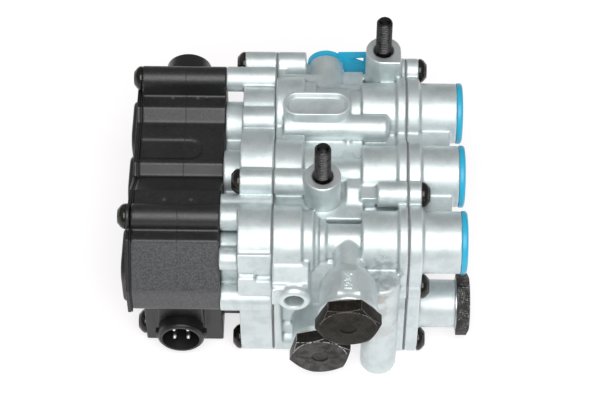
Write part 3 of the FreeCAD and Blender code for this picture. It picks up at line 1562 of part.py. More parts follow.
def make_rear_port_cap():
    """Cap of the rear port with its pull tab, which lies beside the cap."""
    body = new_body("rear_port_cap")
    outer = S.rear_port_thread_radius - S.seal_gap
    rim = S.rear_port_radius + S.rear_cap_lip
    revolve(body, cap_profile(outer, rim, S.rear_cap_spigot_length, S.cap_edge))
    tab = new_sketch(body, "YZ_Plane", S.cap_edge)
    for outline in (PULL_TAB, PULL_TAB_WINDOW):
        draw_polygon(tab, [(S.pull_tab_length * -u, S.pull_tab_length * v) for u, v in outline])
    pad(body, tab, S.pull_tab_thickness)
    at = (S.rear_port_x, S.rear_port_face, SPOOL_Z - S.rear_port_drop)
    keep("rear_port_cap", body, at, TO_PLUS_Y)


def corner_reach(half_flats):
    """Distance from a hexagon's axis to its corners."""
    return half_flats / math.cos(math.radians(30))


def hexagon(half_flats, spin=0):
    """Corners of a hexagon about the axis, its first corner turned by the spin in degrees."""
    corner = corner_reach(half_flats)
    angles = [math.radians(60 * i + spin) for i in range(6)]
    return [(corner * math.cos(a), corner * math.sin(a)) for a in angles]


def make_plug(label, at, rotation, spin):
    """Hexagon screw plug standing out along its own +X."""
    body = new_body(label)
    head_start = S.plug_washer_thickness
    head_end = head_start + S.plug_head_height
    sketch = new_sketch(body, "YZ_Plane", head_start)
    draw_polygon(sketch, hexagon(S.plug_flats_width / 2, spin))
    pad(body, sketch, S.plug_head_height)
    shank = S.plug_thread_radius - S.running_gap
    edge = S.plug_washer_thickness * 2
    revolve(body, [
        (-S.plug_shank_length, 0), (head_start, 0), (head_start, shank),
        (edge - S.plug_shank_length, shank), (-S.plug_shank_length, shank - edge),
    ])
    # Chamfered corners and the turned dimple of the head
    ring = new_sketch(body, "XY_Plane")
    flat = S.plug_flats_width / 2
    corner = corner_reach(flat) + S.fit_gap
    beyond = head_end + S.plug_washer_thickness * 2
    draw_polygon(ring, [
        (head_end - S.plug_chamfer_length, corner), (beyond, corner),
        (beyond, flat - S.fit_gap * 3), (head_end, flat - S.fit_gap),
    ])
    chamfer = body.newObject("PartDesign::Groove", "Groove")
    chamfer.Profile = ring
    chamfer.ReferenceAxis = (ring, ["H_Axis"])
    chamfer.Angle = 360
    dimple = new_sketch(body, "YZ_Plane", head_end)
    draw_circle(dimple, (0, 0), S.plug_dimple_radius)
    pocket(body, dimple, S.plug_dimple_depth)
    keep(label, body, at, rotation)


# Angle in degrees at which each screw plug came to rest
PLUG_TURNS = {"upper": 7.5, "lower": 17.0, "side": 34.0}


def make_plugs():
    """The three screw plugs, each with its own hexagon angle, on their washers."""
    upper = (S.upper_port_x, -S.upper_port_face, SPOOL_Z)
    lower = (S.lower_port_x, -S.lower_port_face, S.side_port_height)
    side = (SIDE_PORT_END, -S.spool_pitch, S.side_port_height)
    straight = FreeCAD.Rotation()
    plugs = (("upper", upper, TO_MINUS_Y), ("lower", lower, TO_MINUS_Y), ("side", side, straight))
    for word, at, rotation in plugs:
        make_plug(f"{word}_plug", at, rotation, PLUG_TURNS[word])
        turned(f"{word}_plug_washer", [
            (0, S.plug_thread_radius), (S.plug_washer_thickness, S.plug_thread_radius),
            (S.plug_washer_thickness, S.plug_washer_radius), (0, S.plug_washer_radius),
        ], at, rotation)


def make_mounting_bolts():
    """Flanged bolts from below, with a reduced shank and the thread above the boss."""
    chamfer = S.bolt_tip_chamfer
    bottom = S.boss_bottom - S.bolt_head_height
    flange_start = bottom + S.bolt_hexagon_height
    thread_start = S.boss_top + S.bolt_thread_start
    tip, thread = S.bolt_tip_height, S.bolt_thread_radius
    flange, shank = S.bolt_flange_radius, S.bolt_shank_radius
    places = (("rear", S.rear_boss_x, REAR_BOSS_Y), ("middle", S.middle_boss_x, S.middle_boss_y))
    for word, x, y in places:
        label = f"{word}_mounting_bolt"
        body = new_body(label)
        revolve(body, [
            (flange_start, 0), (flange_start, flange), (S.boss_bottom - chamfer, flange),
            (S.boss_bottom, flange - chamfer), (S.boss_bottom, shank), (thread_start, shank),
            (thread_start, thread), (tip - chamfer, thread), (tip, thread - chamfer), (tip, 0),
        ])
        head = new_sketch(body, "YZ_Plane", bottom)
        draw_polygon(head, hexagon(S.bolt_flats_width / 2))
        pad(body, head, S.bolt_hexagon_height)
        keep(label, body, (x, y, 0), TO_PLUS_Z)


SCREWS = {}


def screw_shape(radius, length):
    """Round head with a hexagon socket; the shank runs along +X."""
    body = new_body("Screw")
    head = S.screw_head_height
    tip = S.screw_tip_chamfer
    revolve(body, [
        (-head, 0), (-head, S.screw_crown_radius), (-S.screw_shoulder_height, S.screw_shoulder_radius),
        (-S.screw_rim_height, S.screw_head_radius), (0, S.screw_head_radius),
        (0, radius), (length - tip, radius), (length, radius - tip), (length, 0),
    ])
    socket = new_sketch(body, "YZ_Plane", -head)
    draw_polygon(socket, hexagon(S.screw_socket_width / 2))
    pocket(body, socket, S.screw_socket_depth, reverse=True)
    doc.recompute()
    return body.Shape


def placed_screw(x, y, z, radius, length, turned_round=False):
    """Solid of one screw with its head's seat at the place; equal screws share one shape."""
    key = (round(radius.number, 3), round(length.number, 3))
    if key not in SCREWS:
        SCREWS[key] = screw_shape(radius, length)
    solid = SCREWS[key].copy()
    if turned_round:
        solid.rotate(V(0, 0, 0), V(0, 0, 1), 180)
    solid.translate(V(x.number, y.number, z.number))
    return solid


def make_screws():
    grip = S.plate_thickness + BODY_START
    group("plate_screws", [
        placed_screw(PLATE_START, y, z, S.screw_radius, grip + reach)
        for y, z, reach in PLATE_SCREWS.values()
    ])
    grip = S.end_flange_thickness + S.gasket_thickness
    group("end_cover_screws", [
        placed_screw(END_FACE, y, z, S.screw_radius, grip + reach, turned_round=True)
        for y, z, reach in END_SCREWS.values()
    ])
    group("cover_screws", [
        placed_screw(head, y, z, S.cover_screw_radius, tip - head)
        for y, z, head, tip in COVER_SCREWS.values()
    ])


def check_document():
    """Stop before anything is written if an object failed or a sub-part is not sound."""
    doc.recompute()
    failed = [o.Label for o in doc.Objects if "Invalid" in o.State or "Error" in o.State]
    if failed:
        raise RuntimeError(f"failed objects: {failed}")
    for label, thing in NODES.items():
        if thing.Shape.isNull() or not thing.Shape.isValid() or not thing.Shape.Solids:
            raise RuntimeError(f"sub-part {label} has no sound shape")


def write_parts():
    os.makedirs("parts", exist_ok=True)
    for label, thing in NODES.items():
        thing.Shape.exportStep(os.path.join("parts", f"{label}.step"))


make_valve_body()
make_pilot_plate()
make_end_cover()
make_gaskets()
make_solenoid_cover()
make_lid()
make_connectors()
for section in SPOOL_Y:
    make_solenoid(section)
    make_spool(section)
make_port_caps()
make_rear_port_cap()
make_plugs()
make_mounting_bolts()
make_screws()
check_document()
write_parts()
for label in sorted(NODES):
    part_shape = NODES[label].Shape
    print(f"{label:26s} solids {len(part_shape.Solids)}  volume {part_shape.Volume:10.1f}")
whole = Part.Compound([thing.Shape for thing in NODES.values()]).BoundBox
print("box", whole)
print("origin", [round(c.number, 3) for c in ORIGIN])
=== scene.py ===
"""Air suspension valve: cast surfaces, threads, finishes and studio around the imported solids."""

import json
import logging
import math
from dataclasses import dataclass
from enum import Enum
from typing import Callable, Optional, Sequence, Union

import bpy
from mathutils import Matrix, Vector


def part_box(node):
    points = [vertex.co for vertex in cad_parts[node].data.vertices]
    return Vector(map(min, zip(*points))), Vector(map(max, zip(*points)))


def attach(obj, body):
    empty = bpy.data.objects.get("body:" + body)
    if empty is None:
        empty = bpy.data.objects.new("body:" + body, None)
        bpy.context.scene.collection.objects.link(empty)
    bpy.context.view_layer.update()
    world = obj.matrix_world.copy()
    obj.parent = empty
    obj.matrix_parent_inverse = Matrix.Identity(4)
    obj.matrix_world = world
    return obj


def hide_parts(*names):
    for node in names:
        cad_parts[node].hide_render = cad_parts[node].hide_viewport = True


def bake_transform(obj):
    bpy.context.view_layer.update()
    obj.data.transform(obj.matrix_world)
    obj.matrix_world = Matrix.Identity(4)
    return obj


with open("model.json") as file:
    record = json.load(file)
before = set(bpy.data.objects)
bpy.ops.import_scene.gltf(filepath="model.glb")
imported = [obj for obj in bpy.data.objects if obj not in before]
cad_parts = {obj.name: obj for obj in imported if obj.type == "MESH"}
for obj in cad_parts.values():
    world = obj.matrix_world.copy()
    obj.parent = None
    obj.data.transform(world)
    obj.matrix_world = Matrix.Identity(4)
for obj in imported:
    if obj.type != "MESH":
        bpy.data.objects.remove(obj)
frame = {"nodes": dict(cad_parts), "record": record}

LOG = logging.getLogger("air_suspension_valve")
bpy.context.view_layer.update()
MM = 0.001
Colour = tuple[float, float, float]
Point = tuple[float, float, float]

HOUSING = "housing"
SECTIONS = ("rear", "middle", "front")

# Places on the valve in millimetres, as row_point takes them, and the depth of a sloping face
BOSS_TOP = 94.3
COVER_MOULD_LINE = -45.0
COVER_FRONT_SLOPE = 14.4
EJECTOR_MARKS = ((-51.9, 47.1), (-39.4, 47.2), (-52.4, -20.2), (-39.5, -20.1))


class Finish(Enum):
    """Material slots of the record."""

    GASKET = "gasket"
    RUBBER = "rubber"
    STEEL = "steel"
    SPRING = "spring_steel"
    BRASS = "brass"
    SPOOL = "spool_metal"
    COIL = "coil_plastic"
    CONTACTS = "contacts"
    WASHERS = "washers"
    CASTING = "casting"
    COVER = "cover_plastic"
    LID = "lid_plastic"
    CONNECTOR = "connector_plastic"
    CAPS = "blue_plastic"
    SCREWS = "black_screws"
    BOLTS = "black_bolts"
    PLUGS = "phosphated_steel"


def row_point(x: float, y: float, z: float) -> Vector:
    """Place given in millimetres from the left joint face, the middle spool and the table.

    Args:
        x: distance from the pilot plate's joint face, to the right.
        y: distance from the middle spool's axis, to the back.
        z: height above the table.

    Returns:
        The same place in the frame, in metres.
    """
    low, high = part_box("body_gasket")
    spool_low, spool_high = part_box("spool_middle")
    return Vector((low.x + x * MM, (spool_low.y + spool_high.y) / 2 + y * MM, z * MM))


def frame_place(x: float, y: float, z: float) -> Point:
    """The same place as row_point, in millimetres of the frame."""
    return tuple(c / MM for c in row_point(x, y, z))


# Shader maths


class Value:
    """Output socket of a shader node that takes part in Python expressions."""

    def __init__(self, graph: "Graph", socket: Optional[bpy.types.NodeSocket]) -> None:
        """Keep the socket and the graph that it belongs to."""
        self.graph = graph
        self.socket = socket

    def math(self, operation: str, other: "Number" = 0.0, swapped: bool = False) -> "Value":
        """Add one Math node.

        Args:
            operation: the node's operation.
            other: second operand.
            swapped: whether the operands change places.

        Returns:
            The node's result.
        """
        pair = (other, self) if swapped else (self, other)
        return self.graph.node("ShaderNodeMath", {"operation": operation}, dict(enumerate(pair)))

    def __add__(self, other: "Number") -> "Value":
        """Sum."""
        return self.math("ADD", other)

    def __sub__(self, other: "Number") -> "Value":
        """Difference."""
        return self.math("SUBTRACT", other)

    def __mul__(self, other: "Number") -> "Value":
        """Product."""
        return self.math("MULTIPLY", other)

    def __rsub__(self, other: "Number") -> "Value":
        """Difference from a number."""
        return self.math("SUBTRACT", other, swapped=True)

    __radd__ = __add__
    __rmul__ = __mul__

    def highest(self, other: "Number") -> "Value":
        """The larger of two values."""
        return self.math("MAXIMUM", other)

    def absolute(self) -> "Value":
        """The value without its sign."""
        return self.math("ABSOLUTE")

    def smooth(self, low: float, high: float) -> "Value":
        """Smooth step from 0 at low to 1 at high, falling where low is the larger.

        Args:
            low: value that gives 0.
            high: value that gives 1.

        Returns:
            A mask between 0 and 1.
        """
        flipped = low > high
        ends = {"From Min": min(low, high), "From Max": max(low, high), "Value": self}
        step = self.graph.node("ShaderNodeMapRange", {"interpolation_type": "SMOOTHSTEP"}, ends)
        return 1.0 - step if flipped else step


Number = Union[Value, float]

# Sockets of a Mix node for its factor and its two colours, and for the mixed colour
MIX_COLOUR_INPUTS = (0, 6, 7)
MIX_COLOUR_OUTPUT = 2


class Graph:
    """One material's node tree."""

    def __init__(self, name: str) -> None:
        """Start an empty material.

        Args:
            name: the material's name.
        """
        self.material = bpy.data.materials.new(name)
        self.material.use_nodes = True
        self.tree = self.material.node_tree
        self.tree.nodes.clear()
        self._place: Optional[Value] = None

    def node(self, kind: str, settings: Optional[dict] = None, inputs: Optional[dict] = None,
             output: Union[int, str] = 0) -> Value:
        """Add a node.

        Args:
            kind: the node's type.
            settings: its own properties, set first.
            inputs: value or link for each input socket, by name or number.
            output: the socket to hand back.

        Returns:
            The chosen output, or an empty value where the node has none.
        """
        made = self.tree.nodes.new(kind)
        for name, setting in (settings or {}).items():
            setattr(made, name, setting)
        for name, entry in (inputs or {}).items():
            socket = made.inputs[name]
            if isinstance(entry, Value):
                self.tree.links.new(entry.socket, socket)
            elif isinstance(entry, tuple) and len(entry) == 3 and socket.type == "RGBA":
                socket.default_value = (*entry, 1.0)
            else:
                socket.default_value = entry
        return Value(self, made.outputs[output] if len(made.outputs) else None)

    def place(self) -> Value:
        """The point being shaded.

        Returns:
            The point, in millimetres of the frame.
        """
        if self._place is None:
            sockets = {0: self.node("ShaderNodeTexCoord", output="Object"), "Scale": 1 / MM}
            self._place = self.node("ShaderNodeVectorMath", {"operation": "SCALE"}, sockets)
        return self._place

    def axis(self, name: str) -> Value:
        """One coordinate of the point being shaded, in millimetres."""
        return self.node("ShaderNodeSeparateXYZ", inputs={"Vector": self.place()}, output=name)

    def away(self, centre: dict[str, float]) -> Value:
        """Distance of the point being shaded from a place, along the axes that are given.

        Args:
            centre: the place on each axis, in millimetres of the frame.

        Returns:
            The distance, in millimetres.
        """
        steps = [self.axis(name) - place for name, place in centre.items()]
        squares = [step * step for step in steps]
        return sum(squares[1:], squares[0]).math("SQRT")

    def noise(self, size: float, detail: float = 2.0, roughness: float = 0.5) -> Value:
        """Even noise.

        Args:
            size: about how far apart its lumps are, in millimetres.
            detail: number of finer layers.
            roughness: strength of the finer layers.

        Returns:
            The noise, around 0.5.
        """
        sockets = {"Vector": self.place(), "Scale": 1 / size, "Detail": detail,
                   "Roughness": roughness}
        return self.node("ShaderNodeTexNoise", None, sockets)

    def blend(self, factor: Number, first: Union[Value, Colour],
              second: Union[Value, Colour]) -> Value:
        """Mix two colours.

        Args:
            factor: 0 for the first, 1 for the second.
            first: colour or link.
            second: colour or link.

        Returns:
            The mixed colour.
        """
        sockets = dict(zip(MIX_COLOUR_INPUTS, (factor, first, second)))
        return self.node("ShaderNodeMix", {"data_type": "RGBA"}, sockets, MIX_COLOUR_OUTPUT)

    def bump(self, height: Value, depth: float, strength: float = 1.0,
             below: Optional[Value] = None) -> Value:
        """Relief from a height.

        Args:
            height: height between 0 and 1.
            depth: what a height of 1 stands for, in millimetres.
            strength: share of the relief that is used.
            below: relief that this one lies on.

        Returns:
            The normal.
        """
        sockets = {"Height": height, "Distance": depth * MM, "Strength": strength}
        if below is not None:
            sockets["Normal"] = below
        return self.node("ShaderNodeBump", None, sockets)

    def surface(self, **inputs: Union[Number, Colour]) -> bpy.types.Material:
        """Close the material with a Principled shader.

        Args:
            inputs: the shader's sockets, with underscores for spaces.

        Returns:
            The finished material.
        """
        sockets = {name.replace("_", " "): entry for name, entry in inputs.items()}
        return self.close(self.node("ShaderNodeBsdfPrincipled", None, sockets))

    def close(self, shader: Value) -> bpy.types.Material:
        """Join the last shader to the material's output."""
        self.node("ShaderNodeOutputMaterial", None, {"Surface": shader})
        return self.material


# Finishes


@dataclass(frozen=True)
class MachinedFace:
    """A bright milled face of a casting, square to one axis, in millimetres of the frame."""

    axis: str
    centre: Point
    radius: float

    def mask(self, g: Graph) -> Value:
        """Where the surface is milled.

        Args:
            g: the casting's graph.

        Returns:
            1 on the milled face and 0 elsewhere.
        """
        here = dict(zip("XYZ", self.centre))
        level = (g.axis(self.axis) - here.pop(self.axis)).absolute().smooth(0.45, 0.2)
        return level * g.away(here).smooth(self.radius + 0.3, self.radius)


@dataclass(frozen=True)
class PaintedLightPatch:
    """Soft patch of painted light on a casting, in millimetres of the frame: brownish for a
    painted reflection, grey for painted shade.
    """

    centre: Point
    radius: float
    strength: float = 0.5
    colour: Colour = (0.40, 0.36, 0.31)

    def mask(self, g: Graph) -> Value:
        """Where the patch of painted light lies.

        Args:
            g: the casting's graph.

        Returns:
            A soft uneven patch, up to the patch's strength.
        """
        away = g.away(dict(zip("XYZ", self.centre)))
        edge = away + (g.noise(4.0, 4.0, 0.65) - 0.5) * self.radius * 2.0
        return edge.smooth(self.radius, self.radius * 0.35) * self.strength


@dataclass(frozen=True)
class CastAluminium:
    """Shot-blasted aluminium die casting with milled faces."""

    name: str = "cast_aluminium"
    light: Colour = (0.705, 0.77, 0.775)
    dark: Colour = (0.54, 0.602, 0.612)
    pits: Colour = (0.26, 0.28, 0.29)
    milled: Colour = (0.70, 0.74, 0.75)
    # painted shade colour for the creases and corners
    crevice_shade: Colour = (0.20, 0.215, 0.215)
    edge: Colour = (0.86, 0.90, 0.90)
    dark_share: float = 0.55
    pit_share: float = 0.5
    crevice_shade_share: float = 0.55
    edge_share: float = 0.6
    grain: float = 0.6
    grain_depth: float = 0.07
    lumps: float = 9.0
    lump_depth: float = 0.25
    metal: float = 0.75
    roughness: float = 0.52
    faces: tuple[MachinedFace, ...] = ()
    light_patches: tuple[PaintedLightPatch, ...] = ()

    def material(self) -> bpy.types.Material:
        """Build the material.

        Returns:
            The finished material.
        """
        g = Graph(self.name)
        grain = g.noise(self.grain, 3.0, 0.6)
        lumps = g.noise(self.lumps, 4.0, 0.6)
        bend = g.node("ShaderNodeNewGeometry", output="Pointiness")
        colour = g.blend(lumps.smooth(0.42, 0.66) * self.dark_share, self.light, self.dark)
        colour = g.blend(grain.smooth(0.62, 0.74) * self.pit_share, colour, self.pits)
        # painted shade: concave creases found by pointiness are darkened to stand in for the shade
        # that falls in them
        colour = g.blend(bend.smooth(0.488, 0.45) * self.crevice_shade_share, colour, self.crevice_shade)
        colour = g.blend(bend.smooth(0.51, 0.55) * self.edge_share, colour, self.edge)
        rough = self.roughness + (grain - 0.5) * 0.22
        # patches of painted reflection and painted shade
        for light_patch in self.light_patches:
            colour = g.blend(light_patch.mask(g), colour, light_patch.colour)
        for face in self.faces:
            milled = face.mask(g)
            colour = g.blend(milled, colour, self.milled)
            rough = rough - milled * 0.16
            grain = grain * (1.0 - milled * 0.8)
        relief = g.bump(grain, self.grain_depth, 0.4)
        relief = g.bump(lumps, self.lump_depth, 0.2, relief)
        return g.surface(Base_Color=colour, Metallic=self.metal, Roughness=rough, Normal=relief)


@dataclass(frozen=True)
class MouldedPlastic:
    """Black glass-filled plastic with a fine eroded texture and the faint traces of its mould.

    Lines across X and round marks in X and Y are given in millimetres of the frame. Surfaces
    before a place in Y and above a height get a painted sheen, a lighter grainy colour for
    reflected light.
    """

    name: str
    colour: Colour = (0.005, 0.0051, 0.0053)
    dusty: Colour = (0.022, 0.0225, 0.0235)
    painted_sheen: Colour = (0.080, 0.082, 0.086)
    mark: Colour = (0.055, 0.056, 0.058)
    roughness: float = 0.44
    index: float = 1.62
    clouds: float = 13.0
    grain: float = 0.8
    grain_depth: float = 0.08
    line_depth: float = 0.10
    lines: tuple[float, ...] = ()
    sheen_before: Optional[float] = None
    sheen_above: float = 40.0
    marks: tuple[tuple[float, float], ...] = ()

    def material(self) -> bpy.types.Material:
        """Build the material.

        Returns:
            The finished material.
        """
        g = Graph(self.name)
        grain = g.noise(self.grain, 3.0, 0.65)
        cloud = g.noise(self.clouds, 3.0, 0.6)
        dust = cloud.smooth(0.42, 0.68) * 0.2 + grain.smooth(0.48, 0.70) * 0.7
        colour = g.blend(dust, self.colour, self.dusty)
        # painted sheen: the cover's front slope is lightened to stand in for the lamp and floor
        # light it reflects
        if self.sheen_before is not None:
            front = g.axis("Y").smooth(self.sheen_before + 1.0, self.sheen_before)
            front = front * g.axis("Z").smooth(self.sheen_above, self.sheen_above + 2.0)
            colour = g.blend(front * (0.45 + grain.smooth(0.40, 0.62) * 0.55), colour, self.painted_sheen)
        for mark in self.marks:
            colour = g.blend(g.away(dict(zip("XY", mark))).smooth(1.3, 0.5), colour, self.mark)
        rough = self.roughness + (cloud - 0.5) * 0.16 + (grain - 0.5) * 0.35
        relief = g.bump(grain, self.grain_depth, 0.6)
        for place in self.lines:
            ridge = (g.axis("X") - place).absolute().smooth(0.30, 0.08)
            relief = g.bump(ridge, self.line_depth, 0.8, relief)
        return g.surface(Base_Color=colour, Roughness=rough, IOR=self.index, Normal=relief)


@dataclass(frozen=True)
class SmoothPlastic:
    """Plain moulded plastic."""

    name: str
    colour: Colour
    roughness: float = 0.35
    grain: float = 4.0

    def material(self) -> bpy.types.Material:
        """Build the material.

        Returns:
            The finished material.
        """
        g = Graph(self.name)
        cloud = g.noise(self.grain, 2.0)
        rough = self.roughness + (cloud - 0.5) * 0.1
        relief = g.bump(cloud, 0.03, 0.4)
        return g.surface(Base_Color=self.colour, Roughness=rough, Normal=relief)


@dataclass(frozen=True)
class BlackSteel:
    """Black oxide steel of screws and studs, with a little oil on it.

    A thread is given by its axis in X and Y and its outside radius, in millimetres of the frame.
    """

    name: str
    colour: Colour = (0.008, 0.008, 0.009)
    rubbed: Colour = (0.022, 0.0215, 0.021)
    crest: Colour = (0.085, 0.083, 0.08)
    roughness: float = 0.24
    thread: Optional[tuple[float, float, float]] = None

    def material(self) -> bpy.types.Material:
        """Build the material.

        Returns:
            The finished material.
        """
        g = Graph(self.name)
        cloud = g.noise(2.4, 2.0, 0.5)
        colour = g.blend(cloud.smooth(0.50, 0.72), self.colour, self.rubbed)
        if self.thread is not None:
            *middle, outer = self.thread
            reach = g.away(dict(zip("XY", middle)))
            bare = reach.smooth(outer - 0.28, outer - 0.1) * cloud.smooth(0.30, 0.60)
            colour = g.blend(bare, colour, self.crest)
        rough = self.roughness + (cloud - 0.5) * 0.14
        return g.surface(Base_Color=colour, Metallic=0.2, Roughness=rough)


@dataclass(frozen=True)
class Phosphate:
    """Brownish black phosphated steel of a screw plug, with a soft dimple's rings on its face."""

    name: str
    axis: str
    centre: Point
    inner: float
    facet: Colour = (0.011, 0.0095, 0.007)
    front: Colour = (0.020, 0.019, 0.0165)
    rubbed: Colour = (0.30, 0.30, 0.28)
    specks: float = 0.25
    mirror: float = 0.5
    roughness: float = 0.36

    def material(self) -> bpy.types.Material:
        """Build the material.

        Returns:
            The finished material.
        """
        g = Graph(self.name)
        here = dict(zip("XYZ", self.centre))
        depth = (g.axis(self.axis) - here.pop(self.axis)).absolute()
        radius = g.away(here)
        fine = g.noise(0.5, 3.0, 0.65)
        cloud = g.noise(4.5, 3.0, 0.6)
        face = depth.smooth(0.7, 0.2) * radius.smooth(self.inner, self.inner - 0.6)
        rings = (radius * 2.6 + cloud * 3.0).math("SINE") * 0.5 + 0.5
        near = radius.smooth(self.inner * 0.75, 2.0)
        patches = (cloud * 0.5 + fine * 0.5).smooth(0.38, 0.60)
        colour = g.blend(face * patches, self.facet, self.front)
        specks = fine.smooth(0.54, 0.60) * cloud.smooth(0.40, 0.52)
        colour = g.blend(specks * self.specks, colour, self.rubbed)
        rough = self.roughness + (fine - 0.5) * 0.3 + face * 0.1
        relief = g.bump(fine, 0.07, 0.4)
        relief = g.bump(rings * face * near, 0.08, 0.5, relief)
        return g.surface(Base_Color=colour, Specular_IOR_Level=self.mirror, Roughness=rough,
                         Normal=relief)


@dataclass(frozen=True)
class WornLitEdge:
    """Edges of a plug where the black finish is chipped to bright steel, in a broken line, kept to
    its upper edges, so the bright chips are partly wear and partly a painted highlight.
    """

    name: str
    lowest: float
    amount: float = 0.5
    dark: Colour = (0.012, 0.010, 0.008)
    bright: Colour = (0.85, 0.83, 0.78)

    def material(self) -> bpy.types.Material:
        """Build the material.

        Returns:
            The finished material.
        """
        g = Graph(self.name)
        broken = g.noise(1.3, 4.0, 0.7)
        chips_and_highlight = broken.smooth(0.62 - self.amount * 0.3, 0.70 - self.amount * 0.3)
        # painted highlight: the chips stay on the upper edges, where the lamps catch the bevels
        chips_and_highlight = chips_and_highlight * g.axis("Z").smooth(self.lowest, self.lowest + 2.0)
        colour = g.blend(chips_and_highlight, self.dark, self.bright)
        return g.surface(Base_Color=colour, Metallic=0.5, Roughness=0.42 - chips_and_highlight * 0.1)


@dataclass(frozen=True)
class LitTipPin:
    """Contact pin painted dark along its length as painted shade, and light at its free end as a
    painted highlight.
    """

    name: str
    end: float
    shaded: Colour = (0.13, 0.125, 0.12)
    bright: Colour = (0.95, 0.94, 0.90)
    length: float = 1.5

    def material(self) -> bpy.types.Material:
        """Build the material.

        Returns:
            The finished material.
        """
        g = Graph(self.name)
        # painted shade along the pin and a painted highlight on its free end
        away = (g.axis("Y") - self.end).absolute() + (g.noise(0.8, 2.0) - 0.5) * 0.6
        tip = away.smooth(self.length, self.length * 0.6)
        colour = g.blend(tip, self.shaded, self.bright)
        return g.surface(Base_Color=colour, Metallic=0.9, Roughness=0.5 - tip * 0.05)


@dataclass(frozen=True)
class PlainMetal:
    """Turned or drawn metal."""

    name: str
    colour: Colour
    roughness: float = 0.3

    def material(self) -> bpy.types.Material:
        """Build the material.

        Returns:
            The finished material.
        """
        g = Graph(self.name)
        cloud = g.noise(0.7, 2.0)
        rough = self.roughness + (cloud - 0.5) * 0.15
        return g.surface(Base_Color=self.colour, Metallic=1.0, Roughness=rough)


# Modelling


